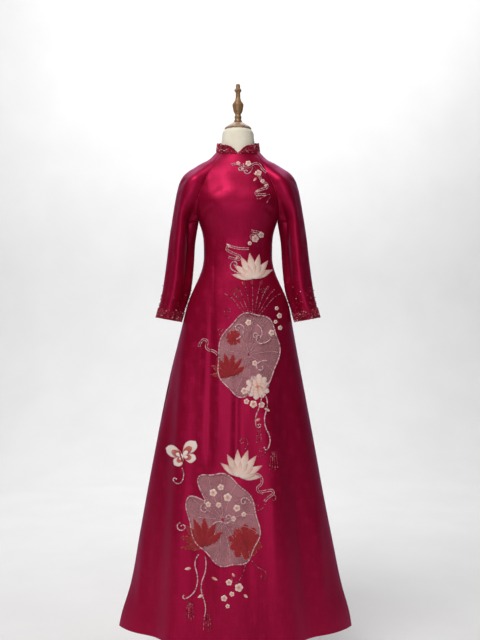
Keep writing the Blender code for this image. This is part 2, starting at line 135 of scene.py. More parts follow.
# Sections of a sleeve from the neck to the cuff, as distances from the middle. The opening is the angle from
# the top line to each raglan seam, and 180 degrees is a closed tube. Down to the armpit, the under points
# are the raglan seam.
SLEEVE = (  # top_x, top_z, under_x, under_z, opening, front_depth, back_depth, centre_y
    (0.0650, 1.6000, 0.0498, 1.5890, 40, 0.0555, 0.0600, 0.000),
    (0.0890, 1.5740, 0.0625, 1.5750, 60, 0.0480, 0.0605, 0.000),
    (0.1130, 1.5610, 0.0745, 1.5520, 75, 0.0575, 0.0720, 0.000),
    (0.1350, 1.5475, 0.0875, 1.5250, 84, 0.0675, 0.0805, 0.000),
    (0.1545, 1.5350, 0.1000, 1.5000, 92, 0.0750, 0.0820, 0.000),
    (0.1705, 1.5180, 0.1115, 1.4750, 102, 0.0760, 0.0775, 0.000),
    (0.1810, 1.4950, 0.1205, 1.4500, 114, 0.0730, 0.0710, 0.000),
    (0.1890, 1.4620, 0.1245, 1.4250, 130, 0.0670, 0.0635, 0.000),
    (0.1970, 1.4160, 0.1240, 1.4030, 150, 0.0600, 0.0570, 0.000),
    (0.2045, 1.3700, 0.1204, 1.3850, 180, 0.0540, 0.0540, -0.001),
    (0.2105, 1.3270, 0.1300, 1.3290, 180, 0.0500, 0.0515, -0.003),
    (0.2155, 1.2800, 0.1340, 1.2740, 180, 0.0475, 0.0490, -0.006),
    (0.2215, 1.2310, 0.1380, 1.2200, 180, 0.0455, 0.0465, -0.010),
    (0.2280, 1.1820, 0.1450, 1.1680, 180, 0.0440, 0.0450, -0.015),
    (0.2365, 1.1370, 0.1590, 1.1220, 180, 0.0430, 0.0435, -0.019),
    (0.2480, 1.0930, 0.1720, 1.0790, 180, 0.0425, 0.0425, -0.022),
)
ARMPIT_STATION = 9
CUFF_STATION = len(SLEEVE) - 1

# The folds that the rigid pieces have too. A trough has a negative depth.
FOLDS = (  # panel, high_x, high_z, low_x, low_z, high_width, low_width, high_depth, low_depth
    ("front", -0.068, 1.220, -0.076, 0.640, 0.009, 0.014, -0.0035, -0.0065),
    ("front", -0.182, 1.060, -0.262, 0.000, 0.022, 0.042, -0.006, -0.009),
    ("front", 0.006, 1.000, 0.002, 0.600, 0.009, 0.012, -0.0035, -0.0060),
    ("front", -0.080, 0.600, -0.092, 0.000, 0.014, 0.022, -0.005, -0.008),
    ("front", 0.130, 1.000, 0.252, 0.000, 0.026, 0.052, -0.005, -0.011),
    ("front", -0.134, 1.160, -0.188, 0.000, 0.020, 0.036, 0.010, 0.015),
    ("front", 0.068, 1.020, 0.178, 0.000, 0.026, 0.048, 0.008, 0.015),
    ("back", -0.128, 1.100, -0.196, 0.000, 0.020, 0.038, -0.009, -0.020),
    ("back", 0.000, 1.160, 0.004, 0.000, 0.022, 0.044, -0.008, -0.020),
    ("back", 0.120, 1.080, 0.188, 0.000, 0.020, 0.038, -0.010, -0.019),
    ("back", -0.062, 1.120, -0.098, 0.000, 0.024, 0.046, 0.007, 0.014),
    ("back", 0.064, 1.120, 0.102, 0.000, 0.024, 0.046, 0.007, 0.015),
)

# The bust, as two soft mounds either side of the middle
BUST_X = 0.072
BUST_Z = 1.432
BUST_WIDTH = 0.040
BUST_RISE = 0.006

# Folds along a sleeve. The turn is 0 at the outer line, -1 and 1 at the underarm by the front and the back.
SLEEVE_FOLDS = (  # side, turn, high_z, low_z, width, depth
    (-1, -0.44, 1.500, 1.060, 0.10, 0.0055),
    (-1, -0.74, 1.475, 1.060, 0.15, -0.0085),
    (-1, -0.72, 1.490, 1.310, 0.11, -0.0050),
    (-1, 0.50, 1.480, 1.100, 0.13, -0.0055),
    (1, -0.42, 1.500, 1.060, 0.10, 0.0050),
    (1, -0.72, 1.470, 1.060, 0.15, -0.0080),
    (1, -0.70, 1.485, 1.320, 0.11, -0.0050),
    (1, 0.54, 1.480, 1.100, 0.13, -0.0060),
)

# How far the collar's top edge stands over its seam, by the angle from centre front
COLLAR_HEIGHT = (  # degrees, height
    (0.0, 0.0040),
    (5.5, 0.0095),
    (15.0, 0.0190),
    (26.0, 0.0245),
    (40.0, 0.0258),
    (90.0, 0.0250),
    (180.0, 0.0250),
)

# The smaller creases, which only the cloth shells have. A ridge has a positive depth.
CREASES = (  # panel, start_x, start_z, end_x, end_z, width, depth
    ("front", -0.094, 1.150, -0.100, 0.820, 0.008, -0.0014),
    ("front", -0.046, 1.120, -0.046, 0.740, 0.012, 0.0024),
    ("front", -0.026, 1.100, -0.024, 0.860, 0.008, -0.0012),
    ("front", 0.040, 1.080, 0.044, 0.760, 0.013, 0.0020),
    ("front", 0.112, 1.130, 0.128, 0.780, 0.012, 0.0020),
    ("front", -0.146, 0.900, -0.160, 0.420, 0.010, -0.0020),
    ("front", -0.122, 0.640, -0.134, 0.190, 0.014, -0.0032),
    ("front", -0.040, 0.600, -0.046, 0.170, 0.016, 0.0034),
    ("front", 0.034, 0.620, 0.044, 0.210, 0.014, -0.0026),
    ("front", 0.104, 0.640, 0.120, 0.200, 0.014, 0.0024),
    ("front", 0.184, 0.640, 0.206, 0.220, 0.014, -0.0028),
    ("front", 0.236, 0.560, 0.268, 0.200, 0.016, 0.0040),
    ("front", -0.226, 0.620, -0.252, 0.210, 0.014, 0.0030),
    ("front", -0.268, 0.480, -0.290, 0.190, 0.014, 0.0036),
    ("front", -0.060, 1.335, 0.010, 1.322, 0.007, -0.0010),
    ("front", -0.085, 1.296, -0.020, 1.288, 0.007, -0.0012),
    ("front", 0.030, 1.304, 0.098, 1.296, 0.007, -0.0012),
    ("front", -0.088, 1.262, -0.050, 1.236, 0.007, -0.0014),
    ("front", 0.104, 1.268, 0.062, 1.240, 0.007, -0.0014),
    ("front", -0.104, 1.400, -0.060, 1.418, 0.009, -0.0022),
    ("front", 0.122, 1.398, 0.080, 1.420, 0.009, -0.0022),
    ("front", -0.090, 1.530, -0.122, 1.385, 0.013, -0.0036),
    ("front", 0.108, 1.530, 0.140, 1.385, 0.013, -0.0036),
    ("front", -0.086, 1.520, -0.046, 1.455, 0.024, -0.0022),
    ("front", 0.100, 1.522, 0.076, 1.460, 0.016, -0.0026),
    ("front", -0.040, 1.560, -0.004, 1.440, 0.030, 0.0024),
    ("back", -0.060, 1.420, -0.020, 1.400, 0.009, -0.0018),
    ("back", 0.070, 1.424, 0.030, 1.402, 0.009, -0.0018),
    ("back", -0.080, 1.300, -0.010, 1.290, 0.008, -0.0016),
    ("back", 0.100, 1.306, 0.030, 1.292, 0.008, -0.0016),
    ("back", -0.070, 1.262, -0.016, 1.250, 0.008, -0.0014),
    ("back", -0.040, 1.100, -0.052, 0.640, 0.013, -0.0044),
    ("back", 0.036, 1.060, 0.050, 0.600, 0.013, -0.0040),
    ("back", -0.150, 0.800, -0.176, 0.240, 0.015, 0.0044),
    ("back", 0.150, 0.860, 0.170, 0.260, 0.015, 0.0046),
    ("back", 0.020, 0.560, 0.030, 0.180, 0.017, 0.0050),
    ("back", -0.250, 0.560, -0.276, 0.190, 0.014, 0.0040),
)
DARTS = (  # panel, x, top_z, bottom_z: sewn lines that take in the waist
    ("front", -0.062, 1.345, 1.020),
    ("front", 0.080, 1.345, 1.020),
    ("back", -0.050, 1.400, 1.060),
    ("back", 0.068, 1.400, 1.060),
)
DART_WIDTH = 0.0022
DART_DEPTH = 0.0009
SLEEVE_CREASES = (  # side, start_turn, start_z, end_turn, end_z, width, depth
    (-1, -0.82, 1.500, -0.88, 1.160, 0.028, -0.0130),
    (-1, -0.33, 1.570, -0.42, 1.340, 0.010, 0.0070),
    (-1, -0.47, 1.420, -0.50, 1.080, 0.014, 0.0065),
    (-1, -0.54, 1.540, -0.72, 1.330, 0.015, -0.0140),
    (1, -0.88, 1.500, -0.84, 1.160, 0.027, -0.0130),
    (1, -0.35, 1.570, -0.44, 1.340, 0.010, 0.0060),
    (1, -0.52, 1.420, -0.52, 1.080, 0.014, 0.0060),
    (1, -0.55, 1.540, -0.72, 1.330, 0.014, -0.0130),
    (-1, -0.40, 1.530, -0.56, 1.430, 0.012, 0.0030),
    (-1, -0.26, 1.512, -0.10, 1.470, 0.009, -0.0022),
    (-1, -0.20, 1.290, -0.46, 1.258, 0.009, -0.0022),
    (-1, -0.16, 1.226, -0.48, 1.204, 0.009, -0.0020),
    (-1, -0.10, 1.400, -0.30, 1.310, 0.012, -0.0020),
    (-1, 0.30, 1.340, 0.44, 1.250, 0.009, -0.0026),
    (-1, 0.66, 1.400, 0.60, 1.300, 0.009, -0.0030),
    (1, -0.38, 1.528, -0.54, 1.436, 0.012, 0.0022),
    (1, -0.24, 1.510, -0.08, 1.474, 0.009, -0.0022),
    (1, -0.18, 1.276, -0.44, 1.246, 0.009, -0.0022),
    (1, -0.14, 1.200, -0.44, 1.176, 0.009, -0.0020),
    (1, -0.12, 1.380, -0.30, 1.300, 0.012, -0.0020),
    (1, 0.34, 1.336, 0.46, 1.240, 0.009, -0.0026),
    (1, 0.66, 1.396, 0.60, 1.290, 0.009, -0.0030),
)
TURN_LENGTH = 0.125  # metres of cloth for one unit of turn round a sleeve
SET_BACK = 0.018  # how far the inner side of a sleeve folds back
FRONT_TUCK = (0.62, 0.24)  # the turn at which that fold starts on the front half, and what it takes to deepen
BACK_TUCK = (0.66, 0.34)
SEAM_DRAW = 0.7  # the share of a sleeve's half width over which it is drawn to its seam
NECK_DRAW = 1.2  # the stations over which a sleeve is drawn to the neck seam

# How fast folds and creases fade in at their high end and out at their low end, as shares of their length
FOLD_FADES = (0.25, 0.15)
SLEEVE_FOLD_FADES = (0.25, 0.10)
CREASE_FADES = (0.30, 0.30)

# The dress form: its clearance under the cloth, then its own hips and neck
FORM_CLEARANCE = (  # height, clearance
    (1.140, 0.0140),
    (1.200, 0.0095),
    (1.262, 0.0070),
    (1.385, 0.0060),
    (1.560, 0.0060),
)
FORM_ROWS = (1.14, 1.20, 1.262, 1.32, 1.385, 1.43, 1.47, 1.495, 1.515, 1.535, 1.555)
FORM_HIPS = (  # height, half_width, front_depth, back_depth
    (FORM_BOTTOM, 0.1180, 0.080, 0.088),
    (0.945, 0.1290, 0.090, 0.099),
    (1.000, 0.1370, 0.097, 0.106),
    (1.070, 0.1405, 0.101, 0.109),
)
FORM_NECK = (  # height, half_width, front_depth, back_depth
    (1.575, 0.0690, 0.051, 0.060),
    (1.592, 0.0565, 0.046, 0.053),
    (1.622, 0.0510, 0.045, 0.050),
    (1.648, 0.0480, 0.044, 0.047),
    (1.661, 0.0445, 0.042, 0.044),
    (FORM_NECK_TOP, 0.0405, 0.039, 0.040),
)

# Turned pieces, from the top down the outside
FINIAL = (  # radius, height
    (0.0000, 1.8070),
    (0.0050, 1.8060),
    (0.0070, 1.8010),
    (0.0068, 1.7925),
    (0.0108, 1.7890),
    (0.0108, 1.7840),
    (0.0070, 1.7805),
    (0.0074, 1.7640),
    (0.0105, 1.7540),
    (0.0172, 1.7440),
    (0.0172, 1.7400),
    (0.0158, 1.7330),
    (0.0140, 1.7230),
    (0.0080, 1.7120),
    (0.0106, 1.7070),
    (0.0106, 1.7020),
    (0.0092, 1.6990),
    (0.0125, 1.6925),
    (0.0125, 1.6892),
    (0.0000, 1.6892),
)
CAP = (
    (0.0000, 1.6889),
    (0.0150, 1.6885),
    (0.0280, 1.6805),
    (0.0400, 1.6720),
    (0.0412, 1.6695),
    (0.0400, 1.6665),
    (0.0370, 1.6658),
    (0.0000, 1.6658),
)
BASE = (
    (0.0000, BASE_TOP),
    (0.0260, BASE_TOP),
    (0.0300, 0.0490),
    (0.0320, 0.0380),
    (0.0480, 0.0330),
    (0.1400, 0.0270),
    (0.1560, 0.0240),
    (0.1600, 0.0180),
    (0.1600, 0.0060),
    (0.1560, 0.0000),
    (0.0000, 0.0000),
)

# ---------------------------------------------------------------- sizes of the studio
SENSOR = 24.0  # millimetres high
FOCAL_SHARE = 850 / 640  # the lens's length over the sensor's height
CAMERA_SHIFT = -0.0078
LAMPS = (  # name, place, aim, size, watts, colour
    ("key", (-1.1, -2.3, 4.6), (0, 0, 1.20), (2.2, 1.8), 130, (1.0, 0.97, 0.94)),
    ("window", (-0.3, -4.4, 1.3), (0, 0, 0.9), (1.6, 2.4), 36, (0.96, 0.98, 1.0)),
    ("wall_wash", (0.0, 2.0, 4.5), (-0.4, 4.2, 1.8), (4.6, 1.4), 112, (0.99, 1.0, 0.995)),
    ("floor_wash", (-0.4, 1.9, 3.5), (-0.4, 1.8, 0.0), (3.8, 1.0), 26, (1.0, 1.0, 0.97)),
)
SKY_COLOUR = (0.93, 0.95, 1.0, 1)
SKY_STRENGTH = 0.045
ROOM_NEAR = -6.0  # the floor starts here, behind the camera
ROOM_HALF = 7.0
ROOM_TOP = 5.6
SWEEP_RADIUS = 1.4  # of the curve from the floor up into the wall


# ---------------------------------------------------------------- the tunic's surfaces
def column(table, index):
    """One column of a table of sections."""
    return np.array([row[index] for row in table], float)


def spline(xs, ys, at):
    """Values on the natural cubic spline through the points (xs, ys)."""
    gaps = np.diff(xs)
    slopes = np.diff(ys) / gaps
    count = len(xs)
    system = np.eye(count)
    bends = np.zeros(count)
    for i in range(1, count - 1):
        system[i, i - 1 : i + 2] = gaps[i - 1], 2 * (gaps[i - 1] + gaps[i]), gaps[i]
        bends[i] = 6 * (slopes[i] - slopes[i - 1])
    second = np.linalg.solve(system, bends)
    at = np.clip(np.asarray(at, float), xs[0], xs[-1])
    k = np.clip(np.searchsorted(xs, at) - 1, 0, count - 2)
    left = (xs[k + 1] - at) / gaps[k]
    right = 1 - left
    curve = (left**3 - left) * second[k] + (right**3 - right) * second[k + 1]
    return left * ys[k] + right * ys[k + 1] + curve * gaps[k] ** 2 / 6


def smoothstep(t):
    """0 below 0, 1 above 1, smooth between."""
    t = np.clip(t, 0, 1)
    return t * t * (3 - 2 * t)


def fade(share, fades):
    """Fades in at the start of a length and out at its end, where the share along it runs from 0 to 1."""
    rise, fall = fades
    return smoothstep(share / rise) * smoothstep((1 - share) / fall)


def body(index, height):
    """A column of the body's sections at any height."""
    return spline(column(BODY, 0), column(BODY, index), height)


def crease(a, b, start_a, start_b, end_a, end_b, width, depth):
    """A soft crease along a line, which fades at both ends."""
    run_a, run_b = end_a - start_a, end_b - start_b
    length = math.hypot(run_a, run_b)
    along = ((a - start_a) * run_a + (b - start_b) * run_b) / length**2
    inside = np.clip(along, 0, 1)
    off = np.hypot(a - start_a - inside * run_a, b - start_b - inside * run_b)
    return depth * fade(along, CREASE_FADES) * np.exp(-((off / width) ** 2))


def panel_relief(panel, x, z):
    """How far folds, creases, darts and the bust push a panel out at (x, z)."""
    rise = np.zeros(np.shape(z))
    for name, high_x, high_z, low_x, low_z, high_width, low_width, high_depth, low_depth in FOLDS:
        if name != panel:
            continue
        down = (high_z - z) / (high_z - low_z)
        inside = np.clip(down, 0, 1)
        middle = high_x + (low_x - high_x) * inside
        width = high_width + (low_width - high_width) * inside
        depth = high_depth + (low_depth - high_depth) * inside
        rise = rise + depth * fade(down, FOLD_FADES) * np.exp(-(((x - middle) / width) ** 2))
    for name, *line in CREASES:
        if name == panel:
            rise = rise + crease(x, z, *line)
    for name, dart_x, top_z, bottom_z in DARTS:
        if name == panel:
            rise = rise + crease(x, z, dart_x, top_z, dart_x, bottom_z, DART_WIDTH, -DART_DEPTH)
    if panel == "front":
        near = np.exp(-(((np.abs(x - AXIS_X) - BUST_X) / BUST_WIDTH) ** 2))
        rise = rise + BUST_RISE * near * np.exp(-(((z - BUST_Z) / BUST_WIDTH) ** 2))
    return rise


def body_point(panel, x, z):
    """The outer face of a panel at a distance x from the body's middle and a height z."""
    x, z = np.broadcast_arrays(np.asarray(x, float), np.asarray(z, float))
    facing = -1 if panel == "front" else 1
    half_width = body(1, z)
    depth = body(2 if panel == "front" else 3, z)
    power = body(4, z)
    across = np.clip(np.abs(x) / half_width, 0, 1)
    y = depth * (1 - across**power) ** (1 / power)
    lean = np.hypot(x / half_width**2, y / depth**2)
    rise = panel_relief(panel, x + body(5, z), z)
    out_x = x + rise * x / half_width**2 / lean
    out_y = y + rise * y / depth**2 / lean
    return np.stack([out_x + body(5, z), facing * out_y, z], axis=-1)


def neckline(angle):
    """Points of the neck seam, at angles in radians from centre front."""
    angle = np.asarray(angle, float)
    front = np.cos(angle)
    depth = np.where(front > 0, NECK_FRONT, NECK_BACK)
    fall = np.where(front > 0, NECK_FRONT_DROP, NECK_BACK_RISE)
    x = AXIS_X + NECK_HALF_WIDTH * np.sin(angle)
    return np.stack([x, -depth * front, NECK_SIDE_HEIGHT - fall * front], axis=-1)


def seam_top(panel):
    """The point of the neck seam where a panel, a sleeve and the collar meet."""
    seam_angle = math.radians(NECK_SEAM_ANGLE)
    return neckline(seam_angle if panel == "front" else math.pi - seam_angle)


def raglan_table(panel):
    """Stations, distances from the middle and heights of a raglan seam, from the neck down."""
    heights = column(SLEEVE[: ARMPIT_STATION + 1], 3)
    heights[0] = seam_top(panel)[2]
    return np.arange(ARMPIT_STATION + 1.0), column(SLEEVE[: ARMPIT_STATION + 1], 2), heights


def raglan(panel, z):
    """How far the raglan seam is from the body's middle at a height."""
    _, places, heights = raglan_table(panel)
    return np.interp(z, heights[::-1], places[::-1])


def seam_height(panel, station):
    """The height of the raglan seam at a station of the sleeve."""
    stations, _, heights = raglan_table(panel)
    return spline(stations, heights, station)


def neck_share(panel, z):
    """How far a panel's surface has bent from the body's sections to the neck seam, 0 to 1."""
    return np.clip((z - CHEST) / (seam_top(panel)[2] - CHEST), 0, 1) ** 2


def seam_point(panel, station):
    """Points of the raglan seam by the sleeve's stations."""
    z = seam_height(panel, station)
    top = seam_top(panel)
    miss = top - body_point(panel, raglan(panel, top[2]), top[2])
    return body_point(panel, raglan(panel, z), z) + miss * neck_share(panel, z)[..., None]


def panel_edge(panel, z):
    """Half of a panel's width at a height: to the slit, the side seam or the raglan seam."""
    half_width = body(1, z)
    open_share = smoothstep((SLIT_TOP - z) / (SLIT_TOP - HEM))
    gap = SEAM_EASE + (SLIT_HALF_GAP - SEAM_EASE) * open_share
    depth = body(2 if panel == "front" else 3, z)
    power = body(4, z)
    side = half_width * (1 - (gap / depth) ** power) ** (1 / power)
    return np.where(z > ARMPIT, np.minimum(raglan(panel, z), half_width) - SEAM_EASE, side)


def upper_stations():
    """The stations from the armpit up to the neck, close together by the armpit."""
    near = ARMPIT_STATION - np.linspace(0, 1, NEAR_ARMPIT_ROWS) ** 2
    above = np.arange(UPPER_ROWS_PER_STATION * (ARMPIT_STATION - 1) - 1, -1, -1) / UPPER_ROWS_PER_STATION
    return np.concatenate([near, above])


def panel_grid(panel, columns):
    """The grid of a panel, hem to neck, each row from one side to the other, with its outer face outwards."""
    stretches = [np.linspace(low, high, rows)[1:] for low, high, rows in PANEL_ROWS]
    heights = np.concatenate([[HEM], *stretches, seam_height(panel, upper_stations()[1:])])
    z, share = np.meshgrid(heights, np.linspace(-1, 1, columns + 1), indexing="ij")
    top = seam_top(panel)[2]
    seam_angle = math.radians(NECK_SEAM_ANGLE)
    fall = NECK_FRONT_DROP if panel == "front" else -NECK_BACK_RISE
    climb = smoothstep((z - CHEST) / (top - CHEST))
    edge = panel_edge(panel, z)
    widest = np.arcsin(np.minimum(edge / body(1, z), 1))
    x = edge * np.sin(widest * share) / np.sin(widest)
    drop = fall * (np.cos(share * seam_angle) - math.cos(seam_angle)) * climb
    points = body_point(panel, x, z - drop)
    angle = share[-1] * seam_angle * (1 - SEAM_EASE / (NECK_HALF_WIDTH * seam_angle))
    target = neckline(angle if panel == "front" else math.pi - angle)
    target[:, 2] -= SEAM_EASE
    points += (target - points[-1]) * neck_share(panel, z)[..., None]
    return pull_in_edges(points, heights > SLIT_TOP)


def grid_normals(points):
    """Unit normals of a grid of points."""
    across = np.gradient(points, axis=1)
    along = np.gradient(points, axis=0)
    normals = np.cross(across, along)
    return normals / np.maximum(np.linalg.norm(normals, axis=-1, keepdims=True), 1e-12)


def pull_in_edges(points, sewn):
    """Dips the cloth along its side edges: at the seam where it is sewn, along the stitching elsewhere."""
    steps = np.linalg.norm(np.diff(points, axis=1), axis=-1)
    from_left = np.concatenate([np.zeros((len(points), 1)), np.cumsum(steps, axis=1)], axis=1)
    off = np.minimum(from_left, from_left[:, -1:] - from_left)
    dip = -SEAM_DIP * np.exp(-((off / SEAM_REACH) ** 2))
    hemmed = -HEM_STITCH_DIP * np.exp(-(((off - HEM_STITCH_INSET) / HEM_STITCH_REACH) ** 2))
    rise = np.where(sewn[:, None], dip, hemmed)
    middle = points.mean(axis=(0, 1))
    normals = grid_normals(points)
    if ((points - middle) * normals).sum() < 0:
        normals = -normals
    return points + normals * rise[..., None]


def sleeve_relief(side, turns, z):
    """How far folds and creases push a sleeve out at a turn and a height."""
    rise = np.zeros(np.shape(z))
    for fold_side, turn, high_z, low_z, width, depth in SLEEVE_FOLDS:
        if fold_side != side:
            continue
        down = (high_z - z) / (high_z - low_z)
        rise = rise + depth * fade(down, SLEEVE_FOLD_FADES) * np.exp(-(((turns - turn) / width) ** 2))
    for crease_side, start_turn, start_z, end_turn, end_z, width, depth in SLEEVE_CREASES:
        if crease_side == side:
            line = (start_turn * TURN_LENGTH, start_z, end_turn * TURN_LENGTH, end_z)
            rise = rise + crease(turns * TURN_LENGTH, z, *line, width, depth)
    return rise


def tuck(turn, start, width):
    """How far the inner side of a sleeve has folded back at a turn, 0 to 1."""
    return smoothstep((turn - start) / width)


def sleeve_point(side, station, share):
    """A sleeve's outer face. The share goes from -1 at the front seam over the top to 1 at the back one."""
    station, share = np.broadcast_arrays(np.asarray(station, float), np.asarray(share, float))
    stations = np.arange(len(SLEEVE))
    value = [spline(stations, column(SLEEVE, k), station) for k in range(8)]
    top_x, top_z, under_x, under_z, _, front, back, centre_y = value
    opening = np.interp(station, stations, column(SLEEVE, 4))
    below_armpit = station - ARMPIT_STATION
    tube = smoothstep(below_armpit)
    set_back = SET_BACK * smoothstep(below_armpit / 1.5) * smoothstep((CUFF_STATION - station) / 2)
    under = np.stack([under_x, centre_y * tube + set_back, under_z], axis=-1)
    below = (station >= ARMPIT_STATION)[..., None]
    seams = np.minimum(station, ARMPIT_STATION)
    ends = [
        np.where(below, under, seam_point(panel, seams) - (AXIS_X, 0, 0)) for panel in ("front", "back")
    ]
    turn = np.radians(opening)
    middle = (ends[0] + ends[1]) / 2
    top = np.stack([top_x, centre_y, top_z], axis=-1)
    reach = (top - middle) / (1 - np.cos(turn))[..., None]
    reach[..., 1] = 0
    centre = top - reach

    def hoop(at):
        """The sleeve's round at a share, before its ends are drawn to the seams."""
        across = np.where(at < 0, front, back) * np.sin(turn * at)
        inner = np.where(at < 0, tuck(-at, *FRONT_TUCK), tuck(at, *BACK_TUCK))
        point = centre + reach * np.cos(turn * at)[..., None]
        point[..., 1] += across + set_back * inner
        away = point - centre
        away /= np.maximum(np.linalg.norm(away, axis=-1, keepdims=True), 1e-9)
        return point + away * sleeve_relief(side, at * opening / 180, point[..., 2])[..., None]

    points = hoop(share)
    for end, at in zip(ends, (-1.0, 1.0)):
        near = np.clip(1 - np.abs(share - at) / SEAM_DRAW, 0, 1) ** 2
        points += near[..., None] * (end - hoop(np.full(share.shape, at)))
    points[..., 0] = AXIS_X + side * points[..., 0]
    return points


def sleeve_grid(side, columns):
    """The grid of a sleeve, neck to cuff, each row from the front seam over the top to the back one."""
    steps = np.arange(1, ROWS_PER_STATION * (CUFF_STATION - ARMPIT_STATION) + 1)
    lower = steps / ROWS_PER_STATION + ARMPIT_STATION
    stations = np.concatenate([upper_stations()[::-1], lower])
    share = np.linspace(-1, 1, columns + 1)
    points = sleeve_point(side, *np.meshgrid(stations, share, indexing="ij"))
    seam_angle = math.radians(NECK_SEAM_ANGLE)
    neck = neckline(seam_angle + (math.pi - 2 * seam_angle) * (share + 1) / 2)
    neck[:, 0] = AXIS_X + side * (neck[:, 0] - AXIS_X)
    neck[:, 2] -= SEAM_EASE
    miss = neck - points[0]
    points += miss * (np.clip(1 - stations / NECK_DRAW, 0, 1) ** 2)[:, None, None]
    return pull_in_edges(points, np.full(len(stations), True))


def collar_grid(columns, levels):
    """The collar from its seam to its top edge, from one side of the notch round to the other."""
    level, share = np.meshgrid(np.linspace(0, 1, levels), np.linspace(0, 1, columns + 1), indexing="ij")
    spread = share - COLLAR_CROWDING * np.sin(2 * math.pi * share)
    degrees = COLLAR_NOTCH_HALF_ANGLE + (360 - 2 * COLLAR_NOTCH_HALF_ANGLE) * spread
    points = neckline(np.radians(degrees))
    height = spline(column(COLLAR_HEIGHT, 0), column(COLLAR_HEIGHT, 1), np.minimum(degrees, 360 - degrees))
    out = points - (AXIS_X, 0, 0)
    out[..., 2] = 0
    out /= np.linalg.norm(out, axis=-1, keepdims=True)
    points = points - out * (COLLAR_LEAN * level)[..., None]
    points[..., 2] += SEAM_EASE + (height - SEAM_EASE) * level
    return points


# ---------------------------------------------------------------- node trees
class Graph:
    """A node tree with one way to add a node."""

    def __init__(self, tree):
        self.tree = tree

    def node(self, kind, settings=None, values=None):
        """Adds a node with its settings, and gives or joins its inputs by name or number."""
        made = self.tree.nodes.new(kind)
        for name, value in (settings or {}).items():
            if name == "stops":
                ramp = made.color_ramp
                while len(ramp.elements) < len(value):
                    ramp.elements.new(0.5)
                for element, (place, colour) in zip(ramp.elements, value):
                    element.position = place
                    element.color = (*colour, 1)
            elif name == "interpolation":
                made.color_ramp.interpolation = value
            else:
                setattr(made, name, value)
        for name, value in (values or {}).items():
            self.join(made.inputs[name], value)
        return made

    def join(self, socket, value):
        """Links a socket to another one, or gives it a plain value."""
        if isinstance(value, Term):
            value = value.socket
        if isinstance(value, bpy.types.NodeSocket):
            self.tree.links.new(value, socket)
        else:
            socket.default_value = value


class Term:
    """A value in a tree. Maths on it adds Math nodes."""

    def __init__(self, graph, socket):
        self.graph = graph
        self.socket = socket

    def maths(self, operation, *values):
        """A Math node on the values, in their order."""
        made = self.graph.node("ShaderNodeMath", {"operation": operation}, dict(enumerate(values)))
        return Term(self.graph, made.outputs[0])

    def __add__(self, other):
        return self.maths("ADD", self, other)

    __radd__ = __add__

    def __sub__(self, other):
        return self.maths("SUBTRACT", self, other)

    def __rsub__(self, other):
        return self.maths("SUBTRACT", other, self)

    def __mul__(self, other):
        return self.maths("MULTIPLY", self, other)

    __rmul__ = __mul__

    def __truediv__(self, other):
        return self.maths("DIVIDE", self, other)

    def apply(self, operation, *others):
        """A Math node on this value and the others."""
        return self.maths(operation, self, *others)

    def step(self, low, high):
        """0 below low, 1 above high, smooth between."""
        values = {"Value": self, "From Min": low, "From Max": high}
        made = self.graph.node("ShaderNodeMapRange", {"interpolation_type": "SMOOTHSTEP"}, values)
        return Term(self.graph, made.outputs[0])


class Finish(Graph):
    """A procedural material with one Principled shader."""

    def __init__(self, name, **constants):
        self.material = bpy.data.materials.new(name)
        self.material.use_nodes = True
        super().__init__(self.material.node_tree)
        self.shader = self.tree.nodes["Principled BSDF"]
        for label, value in constants.items():
            self.set(label.replace("_", " "), value)

    def set(self, label, value):
        """Gives or joins one input of the shader."""
        self.join(self.shader.inputs[label], value)

    def term(self, kind, settings=None, values=None):
        """The first output of a new node, ready for maths."""
        return Term(self, self.node(kind, settings, values).outputs[0])

    def uv(self):
        """The cloth's own coordinates, in metres."""
        return self.node("ShaderNodeUVMap", {"uv_map": "cloth"}).outputs[0]

    def place(self):
        """The place on the object, in metres."""
        return self.node("ShaderNodeTexCoord").outputs["Object"]

    def scaled(self, vector, scale):
        """A place stretched along each axis."""
        return self.node("ShaderNodeMapping", None, {"Vector": vector, "Scale": scale}).outputs[0]

    def parts(self, vector):
        """The three parts of a vector."""
        made = self.node("ShaderNodeSeparateXYZ", None, {"Vector": vector})
        return [Term(self, socket) for socket in made.outputs]

    def noise(self, vector, scale, detail=2.0, roughness=0.5):
        """Soft noise at a place, about 0 to 1."""
        values = {"Vector": vector, "Scale": scale, "Detail": detail, "Roughness": roughness}
        return self.term("ShaderNodeTexNoise", None, values)

    def mix(self, factor, first, second):
        """The first colour at factor 0, the second at 1. A Mix node has its colours in sockets 6 and 7."""
        values = {0: factor, 6: as_colour(first), 7: as_colour(second)}
        return self.node("ShaderNodeMix", {"data_type": "RGBA"}, values).outputs[2]

    def bump(self, height, strength, distance):
        """Small relief in the surface's normal."""
        values = {"Height": height, "Strength": strength, "Distance": distance}
        self.set("Normal", self.node("ShaderNodeBump", None, values).outputs[0])


def as_colour(value):
    """A colour as a node's input takes it."""
    if isinstance(value, (bpy.types.NodeSocket, Term)):
        return value
    return (*tuple(value)[:3], 1.0)


